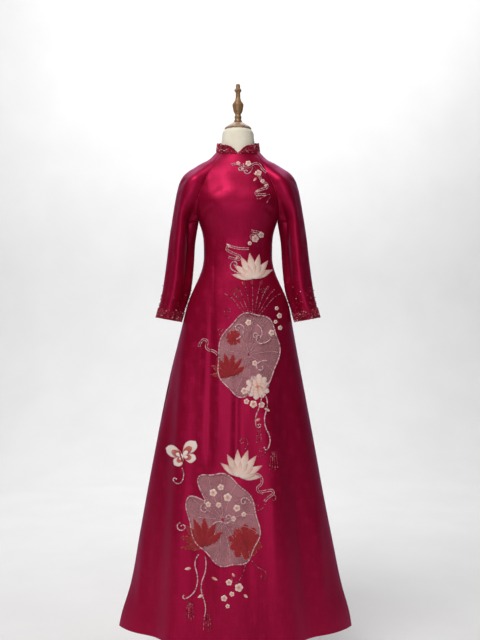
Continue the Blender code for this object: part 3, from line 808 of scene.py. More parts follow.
# ---------------------------------------------------------------- finishes
def satin_finish(settings):
    """Crimson jacquard satin: flowers woven into the ground, with slubs along both threads."""
    finish = Finish("crimson_satin", Metallic=0.48, Specular_IOR_Level=0.36)
    finish.set("Specular Tint", (0.40, 0.28, 0.90, 1))
    uv = finish.uv()
    flowers = woven_flowers(finish, uv, settings.repeat)
    warp = finish.noise(finish.scaled(uv, (900, 34, 1)), 1.0, 2.0)
    weft = finish.noise(finish.scaled(uv, (30, 700, 1)), 1.0, 2.0)
    cloud = finish.noise(finish.scaled(uv, (7, 4, 1)), 1.0, 3.0)
    threads = warp * 0.5 + weft * 0.5
    warp_slubs = finish.noise(finish.scaled(uv, (240, 16, 1)), 1.0, 3.0)
    weft_slubs = finish.noise(finish.scaled(uv, (26, 150, 1)), 1.0, 3.0)
    slubs = warp_slubs * 0.6 + weft_slubs * 0.4
    ground = finish.mix(cloud.step(0.3, 0.7), settings.shade, settings.colour)
    ground = finish.mix((threads - 0.5) * 0.5 + (slubs - 0.5) * 1.1 + 0.25, ground, settings.glow)
    finish.set("Base Color", finish.mix(flowers * 0.34, ground, settings.glow))
    uneven = (threads - 0.5) * 0.16 + (slubs - 0.5) * 0.2 + flowers * 0.10
    finish.set("Roughness", uneven + 0.43)
    finish.bump(threads * 0.5 + flowers * 0.35 + slubs * 1.6, 0.30, 0.0005)
    return finish.material


def woven_flowers(finish, uv, repeat):
    """A mask of five-petalled flowers and leaf sprigs, in staggered rows."""
    u, v = [part / repeat for part in finish.parts(uv)[:2]]
    row = v.apply("FLOOR")
    across = (u + row * 0.5).apply("FRACT") - 0.5
    up = v.apply("FRACT") - 0.5
    radius = (across * across + up * up).apply("SQRT")
    angle = up.apply("ARCTAN2", across)
    petals = (angle * 5).apply("COSINE")
    flower = 1 - (radius - (0.17 + petals * 0.045)).step(-0.015, 0.02)
    eye = 1 - radius.step(0.03, 0.05)
    wave = (across * 2 * math.pi).apply("SINE") * 0.2
    from_stem = (up + 0.36 - wave).apply("ABSOLUTE")
    stem = 1 - from_stem.step(0.012, 0.03)
    scallops = (across * 6 * math.pi).apply("SINE") * 0.05
    leaves = 1 - (from_stem - scallops).step(0.0, 0.03)
    mask = flower - eye * 0.8 + stem * 0.6 + leaves * 0.7
    return mask.apply("MINIMUM", 1.0)


def linen_finish(settings):
    """Cream linen, an open plain weave."""
    finish = Finish("cream_linen", Roughness=0.9, Specular_IOR_Level=0.25)
    finish.set("Sheen Weight", 0.2)
    place = finish.place()
    across = finish.noise(finish.scaled(place, (40, 40, 1300)), 1.0)
    up = finish.noise(finish.scaled(place, (1300, 1300, 40)), 1.0)
    weave = across * 0.5 + up * 0.5
    soil = finish.noise(place, 18, 3.0)
    pleats = finish.noise(finish.scaled(place, (70, 70, 26)), 1.0, 2.0)
    tone = finish.mix(soil.step(0.45, 0.8), settings.linen, (0.86, 0.79, 0.62))
    hollows = finish.mix(0.8, (0.5, 0.44, 0.33), tone)
    finish.set("Base Color", finish.mix(weave.step(0.35, 0.65), hollows, tone))
    finish.bump(weave * 0.35 + pleats * 1.6, 0.6, 0.0016)
    return finish.material


def wood_finish(settings, name="turned_wood", pale=0.0):
    """Waxed turned wood, its grain along the axis."""
    finish = Finish(name, Specular_IOR_Level=0.45)
    place = finish.place()
    grain = finish.noise(finish.scaled(place, (220, 220, 14)), 1.0, 4.0, 0.6)
    bands = finish.noise(finish.scaled(place, (40, 40, 5)), 1.0, 2.0)
    pores = finish.noise(finish.scaled(place, (1400, 1400, 60)), 1.0, 2.0)
    light = [c + (p - c) * pale for c, p in zip(settings.wood, (0.62, 0.42, 0.30))]
    dark = [c * 0.42 for c in light]
    tone = finish.mix(grain.step(0.3, 0.72), dark, light)
    tone = finish.mix(bands.step(0.45, 0.75) * 0.35, tone, [c * 0.7 for c in light])
    open_pores = (1 - pores.step(0.28, 0.42)) * 0.55
    finish.set("Base Color", finish.mix(open_pores, tone, [c * 0.3 for c in light]))
    finish.set("Roughness", 0.34 + grain * 0.2)
    finish.set("Coat Weight", 0.25)
    finish.set("Coat Roughness", 0.25)
    finish.bump(grain * 0.5 + pores * 0.5, 0.25, 0.0006)
    return finish.material


def steel_finish():
    """A brushed steel tube."""
    finish = Finish("brushed_steel", Metallic=1.0)
    place = finish.place()
    lines = finish.noise(finish.scaled(place, (60, 60, 1800)), 1.0, 2.0)
    smudge = finish.noise(place, 30, 3.0)
    finish.set("Base Color", finish.mix(lines, (0.50, 0.50, 0.51), (0.68, 0.68, 0.69)))
    finish.set("Roughness", 0.24 + lines * 0.14 + smudge * 0.12)
    finish.bump(lines, 0.12, 0.0003)
    return finish.material


# ---------------------------------------------------------------- making objects
def add_object(name, mesh, material=None):
    """Puts a mesh in the scene as an object."""
    made = bpy.data.objects.new(name, mesh)
    bpy.context.scene.collection.objects.link(made)
    if material:
        mesh.materials.clear()
        mesh.materials.append(material)
    return made


def settle(made, sharp_degrees=50):
    """Makes what an object's modifiers give its plain mesh."""
    shown = made.evaluated_get(bpy.context.evaluated_depsgraph_get())
    mesh = bpy.data.meshes.new_from_object(shown)
    made.modifiers.clear()
    made.data = mesh
    mesh.shade_smooth()
    mesh.set_sharp_from_angle(angle=math.radians(sharp_degrees))
    return made


def grid_faces(rows, columns, flip=False):
    """The corners of a grid's faces, row by row."""
    first = (np.arange(rows - 1)[:, None] * columns + np.arange(columns - 1)[None, :]).ravel()
    corners = [first, first + 1, first + columns + 1, first + columns]
    return np.stack(corners[::-1] if flip else corners, axis=1)


def cloth_lengths(points):
    """The cloth's own coordinates in metres: across from the middle column, and up from the first row."""
    across = np.linalg.norm(np.diff(points, axis=1), axis=-1)
    across = np.concatenate([np.zeros((len(points), 1)), np.cumsum(across, axis=1)], axis=1)
    middle = points.shape[1] // 2
    across = across - across[:, middle : middle + 1]
    up = np.linalg.norm(np.diff(points[:, middle], axis=0), axis=-1)
    up = np.concatenate([[0], np.cumsum(up)])
    return np.stack([across, np.broadcast_to(up[:, None], across.shape)], axis=-1)


def cloth_shell(name, points, wall, material, flip=False):
    """A thin shell of cloth through a grid of points, with its wall inside them."""
    rows, columns = points.shape[:2]
    faces = grid_faces(rows, columns, flip)
    mesh = bpy.data.meshes.new(name)
    mesh.from_pydata(points.reshape(-1, 3).tolist(), [], faces.tolist())
    lengths = cloth_lengths(points).reshape(-1, 2)
    mesh.uv_layers.new(name="cloth").data.foreach_set("uv", lengths[faces.ravel()].ravel())
    build = bmesh.new()
    build.from_mesh(mesh)
    bmesh.ops.remove_doubles(build, verts=build.verts, dist=0.00002)
    build.to_mesh(mesh)
    build.free()
    made = add_object(name, mesh, material)
    solidify = made.modifiers.new("wall", "SOLIDIFY")
    solidify.thickness = wall
    solidify.offset = -1
    return settle(made)


def cloth_area(points):
    """The cut's area, width and length in metres, off a grid."""
    across = points[:, 1:] - points[:, :-1]
    up = points[1:] - points[:-1]
    area = np.linalg.norm(np.cross(across[:-1], up[:, :-1]), axis=-1).sum()
    width = np.linalg.norm(across, axis=-1).sum(axis=1).max()
    length = np.linalg.norm(up, axis=-1).sum(axis=0).max()
    return float(area), float(width), float(length)


def note_cut(made, points):
    """Keeps the size of a piece's cut on the piece, as area, width and length."""
    made["cut"] = cloth_area(points)


def ride_on_root(made):
    """Fixes a piece to the one body."""
    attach(made, "root")


def torso_grid(columns):
    """The dress form's torso and neck as rings, from the bottom up."""
    heights, gaps = column(FORM_CLEARANCE, 0), column(FORM_CLEARANCE, 1)
    sections = list(FORM_HIPS)
    for height in FORM_ROWS:
        inset = spline(heights, gaps, height)
        lifted = height + FORM_DROP * smoothstep((height - FORM_DROP_START) / FORM_DROP_RUN)
        sections.append((height, *(float(body(k, lifted) - inset) for k in (1, 2, 3))))
    sections += list(FORM_NECK)
    levels = column(sections, 0)
    rows = np.concatenate([np.linspace(a, b, 6)[:-1] for a, b in zip(levels, levels[1:])])
    rows = np.append(rows, FORM_NECK_TOP)
    angle = np.linspace(0, 2 * math.pi, columns + 1)[:-1]
    half_width, front, back = (spline(levels, column(sections, k), rows) for k in (1, 2, 3))
    depth = np.where(np.sin(angle) < 0, front[:, None], back[:, None])
    x = AXIS_X + half_width[:, None] * np.cos(angle)
    return np.stack([x, depth * np.sin(angle), np.broadcast_to(rows[:, None], x.shape)], axis=-1)


def smooth_profile(profile, corner=0.0011):
    """A turned profile with its corners softly broken."""
    points = [profile[0]]
    for before, here, after in zip(profile, profile[1:], profile[2:]):
        for other in (before, after):
            reach = min(corner, 0.3 * math.dist(here, other)) / math.dist(here, other)
            points.append(tuple(h + (o - h) * reach for h, o in zip(here, other)))
    return points + [profile[-1]]


def turned_piece(name, profile, steps, material):
    """A profile turned round the form's axis."""
    mesh = bpy.data.meshes.new(name)
    points = smooth_profile(profile)
    edges = [(i, i + 1) for i in range(len(points) - 1)]
    mesh.from_pydata([(radius, 0, height) for radius, height in points], edges, [])
    made = add_object(name, mesh, material)
    screw = made.modifiers.new("turned", "SCREW")
    screw.steps = steps
    screw.render_steps = steps
    screw.use_merge_vertices = True
    screw.merge_threshold = 0.00005
    settle(made, 35)
    made.data.transform(Matrix.Translation((AXIS_X, 0, 0)))
    return made


# ---------------------------------------------------------------- beads
def tone_finish(name, stops, interpolation="CONSTANT", **constants):
    """A finish whose colour comes from each bead's or stitch's own tone."""
    finish = Finish(name, **constants)
    tone = finish.node("ShaderNodeAttribute", {"attribute_name": "tone"}).outputs["Fac"]
    ramp = finish.node("ShaderNodeValToRGB", {"stops": stops, "interpolation": interpolation}, {"Fac": tone})
    finish.set("Base Color", ramp.outputs[0])
    return finish


def glass_finish(name, stops):
    """Glass beads under a thin gloss."""
    finish = tone_finish(name, stops, Roughness=0.22, Specular_IOR_Level=0.4, Coat_Roughness=0.05)
    finish.set("Coat Weight", 0.15)
    return finish.material


def sequin_finish(settings):
    """Faceted red foil with painted light: at random, sequins are painted darker as painted shade and
    brighter as painted glints.
    """
    red = settings.sequin
    # dark is painted shade; light and the last, palest stop are painted glints on the one red foil
    dark, light = [c * 0.45 for c in red], [c * 1.4 for c in red]
    stops = [(0.0, dark), (0.35, red), (0.7, light), (0.93, (0.9, 0.25, 0.2))]
    finish = tone_finish("red_sequin", stops, Metallic=0.8)
    finish.set("Roughness", 0.24)
    return finish.material


BEAD_INPUTS = (("Spacing", "Float"), ("Radius", "Float"), ("Seed", "Int"), ("Material", "Material"))


def geometry_tree(name):
    """An empty node group with a geometry in and out and the inputs for beads."""
    tree = bpy.data.node_groups.new(name, "GeometryNodeTree")
    tree.interface.new_socket("Geometry", in_out="INPUT", socket_type="NodeSocketGeometry")
    for label, kind in BEAD_INPUTS:
        tree.interface.new_socket(label, in_out="INPUT", socket_type="NodeSocket" + kind)
    tree.interface.new_socket("Geometry", in_out="OUTPUT", socket_type="NodeSocketGeometry")
    graph = Graph(tree)
    return graph, graph.node("NodeGroupInput").outputs, graph.node("NodeGroupOutput").inputs


def random_number(graph, low, high, seed):
    """Another number for each bead. This node has the ends of a plain range in sockets 2 and 3."""
    return graph.node("FunctionNodeRandomValue", None, {2: low, 3: high, "Seed": seed}).outputs[1]


def finish_instances(graph, points, instance, given, output, rotation=None):
    """Puts an instance on each point with its own scale and tone, and makes them real."""
    scale = random_number(graph, 0.88, 1.12, given["Seed"])
    values = {"Points": points, "Instance": instance, "Scale": scale}
    if rotation is not None:
        values["Rotation"] = rotation
    made = graph.node("GeometryNodeInstanceOnPoints", None, values)
    tone = random_number(graph, 0.0, 1.0, given["Seed"])
    settings = {"data_type": "FLOAT", "domain": "INSTANCE"}
    values = {"Geometry": made.outputs[0], "Name": "tone", "Value": tone}
    stored = graph.node("GeometryNodeStoreNamedAttribute", settings, values)
    real = graph.node("GeometryNodeRealizeInstances", None, {"Geometry": stored.outputs[0]})
    values = {"Geometry": real.outputs[0], "Material": given["Material"]}
    done = graph.node("GeometryNodeSetMaterial", None, values)
    graph.join(output[0], done.outputs[0])


def bead(graph, radius):
    """A small round bead."""
    values = {"Segments": 6, "Rings": 4, "Radius": radius}
    return graph.node("GeometryNodeMeshUVSphere", None, values).outputs[0]


def sequin(graph, radius):
    """A shallow cup of foil with seven sides."""
    wide = Term(graph, radius)
    values = {"Vertices": 7, "Radius Top": wide * 0.3, "Radius Bottom": radius, "Depth": wide * 0.12}
    return graph.node("GeometryNodeMeshCone", None, values).outputs[0]


def strung_tree():
    """Beads strung along the lines of a mesh."""
    graph, given, output = geometry_tree("strung_beads")
    line = graph.node("GeometryNodeMeshToCurve", None, {"Mesh": given["Geometry"]})
    values = {"Curve": line.outputs[0], "Length": given["Spacing"]}
    points = graph.node("GeometryNodeResampleCurve", {"mode": "LENGTH"}, values)
    finish_instances(graph, points.outputs[0], bead(graph, given["Radius"]), given, output)
    return graph.tree


def strewn_tree(name, flat):
    """Beads, or flat sequins, strewn over the faces of a mesh as thickly as its bead_density says."""
    graph, given, output = geometry_tree(name)
    density = graph.node("GeometryNodeInputNamedAttribute", {"data_type": "FLOAT"}, {"Name": "bead_density"})
    values = {
        "Mesh": given["Geometry"],
        "Distance Min": given["Spacing"],
        "Density Max": 500000.0,  # far more than fit, so that the least distance decides
        "Density Factor": density.outputs[0],
        "Seed": given["Seed"],
    }
    strewn = graph.node("GeometryNodeDistributePointsOnFaces", {"distribute_method": "POISSON"}, values)
    points, normal, rotation = strewn.outputs
    lift = Term(graph, given["Radius"]) * (0.25 if flat else 0.75)
    raised = graph.node("ShaderNodeVectorMath", {"operation": "SCALE"}, {"Vector": normal, "Scale": lift})
    values = {"Geometry": points, "Offset": raised.outputs[0]}
    placed = graph.node("GeometryNodeSetPosition", None, values).outputs[0]
    if flat:
        values = {"Min": (-0.3,) * 3, "Max": (0.3,) * 3}
        tilt = graph.node("FunctionNodeRandomValue", {"data_type": "FLOAT_VECTOR"}, values)
        values = {"Rotation": rotation, "Rotate By": tilt.outputs[0]}
        rotation = graph.node("FunctionNodeRotateRotation", None, values).outputs[0]
    shape = (sequin if flat else bead)(graph, given["Radius"])
    finish_instances(graph, placed, shape, given, output, rotation)
    return graph.tree


def grow(made, tree, material, spacing, radius, seed, sharp_degrees=180):
    """Runs a tree on an object and keeps what it makes."""
    modifier = made.modifiers.new("beads", "NODES")
    modifier.node_group = tree
    chosen = {"Spacing": spacing, "Radius": radius, "Seed": seed, "Material": material}
    for item in tree.interface.items_tree:
        if item.in_out == "INPUT" and item.name in chosen:
            modifier[item.identifier] = chosen[item.name]
    settle(made, sharp_degrees)
    ride_on_root(made)


def patch_object(name, points, density, flip=False):
    """A plain sheet of faces with a bead density at each point."""
    rows, columns = points.shape[:2]
    mesh = bpy.data.meshes.new(name)
    mesh.from_pydata(points.reshape(-1, 3).tolist(), [], grid_faces(rows, columns, flip).tolist())
    layer = mesh.attributes.new("bead_density", "FLOAT", "POINT")
    layer.data.foreach_set("value", density.ravel().astype(np.float32))
    return add_object(name, mesh)


# ---------------------------------------------------------------- needlework
# All places are on the front panel, x across and z up. A curl starts at a place with a heading in degrees
# and runs through arcs, one after the other. A turn in degrees is to the left where it is positive.
CORDS = (  # x, z, heading, (length, turn) of each arc
    (0.026, 1.548, -70, ((0.020, -50), (0.016, -130), (0.010, -130))),
    (0.052, 1.536, -100, ((0.022, -40), (0.018, -130), (0.010, -140))),
    (0.020, 1.222, 175, ((0.030, -30), (0.030, -120), (0.018, -140), (0.010, -140))),
    (0.006, 1.030, 20, ((0.036, 60), (0.034, 140), (0.020, 150), (0.010, 150))),
    (0.066, 1.070, -30, ((0.030, -60), (0.032, -130), (0.018, -150), (0.010, -150))),
    (0.104, 1.030, -130, ((0.034, -50), (0.030, -130), (0.016, -150))),
    (0.092, 0.966, 160, ((0.030, 70), (0.028, 140), (0.014, 150))),
    (0.086, 0.872, -60, ((0.055, -50), (0.060, 50), (0.050, -60), (0.014, -150))),
    (0.078, 0.866, -95, ((0.050, -20), (0.040, 40), (0.018, 150), (0.010, 150))),
    (-0.152, 0.655, -60, ((0.040, -60), (0.030, -120), (0.014, -160))),
    (-0.104, 0.412, -130, ((0.045, 60), (0.055, -40), (0.045, -50), (0.014, -150))),
    (-0.084, 0.406, -75, ((0.060, -40), (0.060, 50), (0.050, -40))),
    (-0.158, 0.500, 190, ((0.020, 110), (0.026, 130), (0.016, 150))),
    (-0.060, 0.502, 60, ((0.030, -90), (0.030, 100), (0.022, 150), (0.010, 150))),
    (-0.086, 0.560, -160, ((0.020, 60), (0.024, 140), (0.014, 150))),
    (0.046, 0.560, 100, ((0.024, 60), (0.024, 140), (0.014, 150))),
)
TWINS = (
    (-0.010, 1.546, 25, ((0.034, -60), (0.034, 85), (0.030, -115), (0.024, 30))),
    (0.074, 1.510, -95, ((0.028, 80), (0.024, -150), (0.028, 20), (0.014, 150), (0.022, 0))),
    (0.040, 1.296, 185, ((0.056, -25), (0.022, 170), (0.036, 10), (0.018, -170), (0.026, -10))),
    (0.058, 1.318, 80, ((0.012, 90), (0.016, -170), (0.014, 0), (0.014, 170), (0.018, 0))),
    (0.054, 0.642, 20, ((0.030, -90), (0.026, -80), (0.024, 160), (0.028, 0), (0.020, -160), (0.026, 20))),
    (-0.050, 0.985, 120, ((0.026, 60), (0.026, -120), (0.024, 160), (0.020, 40))),
)
REDS = (
    (0.058, 1.540, -40, ((0.024, -60), (0.024, 90), (0.016, 140))),
    (0.086, 1.468, -150, ((0.032, 30), (0.014, 150), (0.030, 0), (0.012, -150), (0.020, 0))),
    (0.088, 1.160, 40, ((0.020, 100), (0.020, 160), (0.010, 160))),
    (0.000, 1.140, 150, ((0.024, -110), (0.020, -150), (0.010, -160))),
    (-0.012, 1.090, 180, ((0.030, -90), (0.024, -140), (0.012, -160))),
    (-0.030, 1.040, 200, ((0.024, -90), (0.020, -140), (0.010, -160))),
    (0.026, 0.712, 20, ((0.034, 100), (0.026, 140), (0.012, 150))),
    (0.066, 0.694, -30, ((0.030, 110), (0.024, 140), (0.012, 150))),
    (0.076, 0.590, -60, ((0.030, 90), (0.026, -140), (0.014, -150))),
    (0.088, 0.560, -100, ((0.028, -60), (0.024, -140), (0.012, -150))),
    (0.050, 0.398, -60, ((0.040, 40), (0.030, -110), (0.016, -150))),
    (0.030, 0.392, -95, ((0.050, -30), (0.026, -120), (0.014, -150))),
)
DROPS = (  # x, z, count, length
    (0.112, 0.704, 4, 0.050),
    (0.070, 0.770, 3, 0.040),
    (-0.128, 0.276, 4, 0.050),
    (-0.078, 0.246, 4, 0.046),
)
BLOSSOMS = (  # x, z, radius, turn
    (0.040, 1.552, 0.009, 60),
    (0.070, 1.522, 0.010, 20),
    (0.082, 1.496, 0.007, 50),
    (0.010, 1.552, 0.006, 10),
    (0.060, 1.326, 0.011, 80),
    (0.078, 1.338, 0.009, 30),
    (0.044, 1.312, 0.006, 10),
    (0.124, 1.120, 0.006, 0),
    (0.132, 1.098, 0.008, 30),
    (0.120, 1.080, 0.006, 60),
    (0.134, 1.062, 0.007, 10),
    (0.108, 1.048, 0.009, 40),
    (0.040, 1.078, 0.009, 40),
    (0.028, 0.880, 0.010, 40),
    (0.034, 0.850, 0.008, 10),
    (0.054, 0.842, 0.011, 50),
    (0.078, 0.840, 0.009, 20),
    (0.058, 0.960, 0.008, 0),
    (-0.062, 0.590, 0.011, 0),
    (-0.040, 0.606, 0.009, 30),
    (-0.020, 0.578, 0.012, 10),
    (-0.046, 0.556, 0.008, 50),
    (-0.076, 0.556, 0.008, 20),
    (0.006, 0.548, 0.010, 40),
    (-0.004, 0.518, 0.008, 0),
    (0.026, 0.530, 0.007, 20),
    (-0.016, 0.340, 0.009, 20),
    (0.012, 0.326, 0.012, 0),
    (-0.008, 0.308, 0.007, 40),
    (-0.030, 0.296, 0.009, 10),
    (-0.020, 0.274, 0.006, 30),
)
LEAFLETS = (  # tone, x, z, turn, length, width
    (0.15, 0.018, 1.540, -60, 0.016, 0.007),
    (0.15, 0.056, 1.520, -20, 0.016, 0.007),
    (0.30, 0.064, 1.506, -130, 0.014, 0.007),
    (0.15, 0.086, 1.480, 30, 0.014, 0.007),
    (0.30, 0.074, 1.466, -160, 0.014, 0.007),
    (0.15, -0.012, 1.300, 140, 0.016, 0.007),
    (0.30, 0.010, 1.276, -120, 0.014, 0.007),
    (0.15, 0.086, 0.830, -30, 0.018, 0.008),
    (0.30, 0.074, 0.800, 200, 0.016, 0.008),
    (0.15, -0.126, 0.372, 190, 0.018, 0.008),
    (0.30, -0.066, 0.352, -20, 0.018, 0.008),
    (0.15, -0.090, 0.300, 210, 0.018, 0.008),
    (0.30, 0.000, 0.354, 120, 0.014, 0.007),
    (0.15, 0.026, 0.306, -40, 0.014, 0.007),
)
LOTUSES = (  # colour, x, z, size, lean
    ("pale", 0.054, 1.210, 0.068, 8),
    ("red", -0.014, 0.925, 0.060, 14),
    ("pale", 0.014, 0.638, 0.070, -18),
    ("red", -0.086, 0.440, 0.074, 24),
)
BLOOMS = (  # colour, x, z, radius, turn
    ("pale", 0.066, 0.892, 0.036, 10),
    ("red", 0.030, 0.452, 0.048, 20),
    ("red", -0.004, 1.034, 0.022, 0),
)
SHEER_LEAVES = (  # name, veins, (x, z, half_width, half_height, notch, waves, lean)
    ("upper", 13, (0.040, 0.985, 0.088, 0.122, -60, 7, -12)),
    ("lower", 15, (-0.034, 0.515, 0.098, 0.135, 120, 8, 22)),
)
REED_HEADS = (  # x, z, turn
    (0.010, 1.165, 120),
    (0.028, 1.185, 105),
    (0.050, 1.190, 90),
    (0.075, 1.186, 75),
    (0.092, 1.172, 60),
)
STRAY_BEADS = 0.22  # how thickly beads lie just over a cuff's full band
STRAY_REACH = 0.035  # how far up they thin out
BUTTERFLY = (-0.150, 0.690, 0.056, 18)  # x, z, size, lean
REED_STEMS = 9
STITCH_ROOT = 0.0003  # how far the edges of a stitched petal go under the cloth's face
LAYER_RISE = 0.0005  # how far a petal lies over the one beneath it
SHEER_WALL = 0.0003
SHEER_LIFT = 0.0008  # how far a sheer leaf lies off the satin, without its puckers
PUCKER = 0.0006
BEAD_SINK = 0.8  # the middle of a strung bead is this much of its radius off the cloth
SEQUIN_SHARE = 0.8  # how thickly the sequins cover the red flowers
OUTLINED = 0.020  # petals longer than this have a line of beads at their edges
LOTUS_PETALS = (  # angles off the middle, length, width, from the back to the front
    ((-80, 80), 0.92, 0.27),
    ((-54, 54), 1.0, 0.30),
    ((-28, 28), 1.05, 0.32),
    ((0,), 1.08, 0.34),
)
BLOOM_RINGS = ((10, 1.0), (8, 0.76), (6, 0.52), (4, 0.30))  # petals, reach
WINGS = ((52, 1.0, 0.62, -0.10), (126, 0.68, 0.48, 0.12))  # angle, length, width, bend
WING_FIELDS = (  # share, foot, tip, layer
    (1.0, 0.25, 0.05, 0),
    (0.70, 0.85, 0.55, 1.6),
    (0.40, 0.10, 0.02, 3.0),
)
STITCH_TONES = (  # tone, colour
    (0.0, (0.88, 0.83, 0.78)),
    (0.30, (0.84, 0.60, 0.50)),
    (0.60, (0.62, 0.16, 0.13)),
    (0.86, (0.36, 0.012, 0.022)),
    (1.0, (0.26, 0.005, 0.012)),
)
GARNET_AND_GLINT_TONES = (
    (0.0, (0.12, 0.002, 0.010)),
    (0.25, (0.30, 0.005, 0.025)),
    (0.55, (0.50, 0.015, 0.06)),
    (0.84, (0.64, 0.08, 0.15)),
    # The palest tone, on a few beads, is a painted glint; the reds below it are the beads' own colours.
    (0.965, (0.84, 0.50, 0.56)),
)
ROSE_TONES = ((0.0, (0.16, 0.004, 0.02)), (0.3, (0.42, 0.05, 0.09)), (0.8, (0.62, 0.20, 0.24)))
CORAL_TONES = ((0.0, (0.30, 0.01, 0.02)), (0.4, (0.60, 0.09, 0.07)), (0.85, (0.75, 0.35, 0.22)))


class Ground:
    """Cloth that is already laid, to put needlework on."""

    def __init__(self, *cloths):
        corners, faces = [], []
        for cloth in cloths:
            first = len(corners)
            corners += [vertex.co for vertex in cloth.data.vertices]
            faces += [[first + i for i in face.vertices] for face in cloth.data.polygons]
        self.hits = BVHTree.FromPolygons(corners, faces)

    def lay(self, places, lifts):
        """Puts points given as (x, z) on the cloth, each lifted off it."""
        laid = []
        for (x, z), lift in zip(np.reshape(places, (-1, 2)), np.ravel(lifts)):
            spot, normal, _, _ = self.hits.ray_cast(Vector((x, -1, z)), Vector((0, 1, 0)))
            if spot is None:  # past the cloth's edge
                spot, normal, _, _ = self.hits.find_nearest(Vector((x, -0.02, z)))
            laid.append(spot + normal * lift)
        return np.array(laid)


def curl(x, z, heading, turns):
    """A line that starts at (x, z) and heads off at an angle, then runs through (length, turn) arcs."""
    step = 0.0025
    points = [(x, z)]
    for length, turn in turns:
        count = max(2, round(length / step))
        for _ in range(count):
            heading += turn / count
            x += length / count * math.cos(math.radians(heading))
            z += length / count * math.sin(math.radians(heading))
            points.append((x, z))
    return np.array(points)


def twin(line, gap=0.0052):
    """Two lines side by side along one."""
    run = np.gradient(line, axis=0)
    left = np.stack([-run[:, 1], run[:, 0]], axis=-1) / np.linalg.norm(run, axis=-1, keepdims=True)
    return [line + left * gap / 2, line - left * gap / 2]


def petal(x, z, turn, length, width, bend=0.0, fullness=0.9, point=0.8):
    """A petal or leaf as a grid of places, from its foot at (x, z) out along turn degrees."""
    along, across = np.meshgrid(np.linspace(0, 1, 11), np.linspace(-1, 1, 7), indexing="ij")
    out = np.array((math.cos(math.radians(turn)), math.sin(math.radians(turn))))
    left = np.array((-out[1], out[0]))
    half = width / 2 * np.sin(math.pi * np.clip(along**fullness, 0.004, 0.996)) ** point
    side = across * half + bend * length * along**2
    return np.array((x, z)) + (along * length)[..., None] * out + side[..., None] * left


def reed_lines():
    """Reeds that fan out from a clump on the upper leaf."""
    lines = []
    for i in range(REED_STEMS):
        lean = i - (REED_STEMS - 1) / 2
        arcs = ((0.05, 2 * lean), (0.045, -7 * lean))
        lines.append(curl(0.052 + 0.004 * lean, 1.096, 90 - 11 * lean, arcs))
    return lines


def drop_lines():
    """Short strings of beads that hang side by side in bunches."""
    lines = []
    for x, z, count, length in DROPS:
        for i in range(count):
            lean = i - (count - 1) / 2
            arcs = ((length * (1 - 0.12 * (i % 2)), -5 * lean),)
            lines.append(curl(x + 0.004 * lean, z, -90 + 7 * lean, arcs))
    return lines


class Stitching:
    """Satin-stitched petals gathered into one mesh, each with a tone at its foot and at its tip."""

    def __init__(self, ground, puff):
        self.ground = ground
        self.puff = puff
        self.points, self.faces, self.tones, self.threads, self.edges = [], [], [], [], []
        self.count = 0

    def add(self, grid, foot, tip, layer=0):
        """Sews one petal on the ground. A higher layer lies over the ones beneath it."""
        rows, columns = grid.shape[:2]
        along, across = np.meshgrid(np.linspace(0, 1, rows), np.linspace(-1, 1, columns), indexing="ij")
        round_off = np.sqrt(1 - across**2) * np.sqrt(np.sin(math.pi * np.clip(along, 0, 1)).clip(0, 1))
        lifts = self.puff * round_off - STITCH_ROOT + layer * LAYER_RISE * (0.3 + 0.7 * (round_off > 0))
        self.points.append(self.ground.lay(grid, lifts))
        self.faces.append(grid_faces(rows, columns) + self.count)
        self.tones.append((foot + (tip - foot) * along**1.5).ravel())
        size = np.linalg.norm(grid[-1, columns // 2] - grid[0, columns // 2])
        if size > OUTLINED:
            self.edges += [grid[2:, 0], grid[2:, -1]]
        self.threads.append(np.stack([across * size * 0.3, along * size], axis=-1).reshape(-1, 2))
        self.count += rows * columns

    def mesh(self, name):
        """All the petals as one mesh, with their tones and the lie of their threads."""
        mesh = bpy.data.meshes.new(name)
        faces = np.concatenate(self.faces)
        threads = np.concatenate(self.threads)[faces.ravel()]
        mesh.from_pydata(np.concatenate(self.points).tolist(), [], faces.tolist())
        mesh.attributes.new("tone", "FLOAT", "POINT").data.foreach_set("value", np.concatenate(self.tones))
        mesh.uv_layers.new(name="cloth").data.foreach_set("uv", threads.ravel())
        return mesh

    def bed(self, name, density):
        """The petals as a plain sheet for sequins, with how thickly they lie."""
        mesh = self.mesh(name)
        filled = np.full(len(mesh.vertices), density, np.float32)
        mesh.attributes.new("bead_density", "FLOAT", "POINT").data.foreach_set("value", filled)
        return add_object(name, mesh)

    def sew(self, name, material):
        """The petals as stitched thread."""
        made = add_object(name, self.mesh(name), material)
        wall = made.modifiers.new("wall", "SOLIDIFY")
        wall.thickness = SHEER_WALL
        wall.offset = -1
        settle(made, 60)
        ride_on_root(made)


def blossom(stitching, x, z, radius, turn, foot, tip):
    """A small flower of five round petals."""
    for i in range(5):
        at = turn + 72 * i
        stitching.add(petal(x, z, at, radius, radius * 0.95, 0, 1.25, 0.6), foot, tip)


def bloom(stitching, x, z, radius, foot, tip, turn):
    """A full round flower in four rings of petals."""
    for ring, (count, reach) in enumerate(BLOOM_RINGS):
        for i in range(count):
            at = turn + 360 / count * (i + 0.5 * ring)
            length = radius * reach * (0.95 + 0.10 * ((i * 7 + ring * 3) % 5) / 4)
            width = 4.9 * radius * reach / count
            stitching.add(petal(x, z, at, length, width, 0, 1.7, 0.5), foot, tip, ring * 1.3)


def lotus(stitching, x, z, size, lean, foot, tip):
    """A lotus from the side: back petals, then the front ones over them."""
    for layer, (angles, length, width) in enumerate(LOTUS_PETALS):
        for angle in angles:
            bend = 0.10 * math.copysign(1, angle) if angle else 0
            grid = petal(x, z, 90 + lean - angle, length * size, width * size, bend, 0.85, 0.9)
            stitching.add(grid, foot, tip, layer * 0.8)
    for angle in (-66, 66, -40, 40, -14, 14):
        grid = petal(x, z - 0.04 * size, 90 + lean - angle, 0.66 * size, 0.24 * size, 0, 0.85, 0.9)
        stitching.add(grid, foot * 0.7 + tip * 0.3, tip, 3.4)


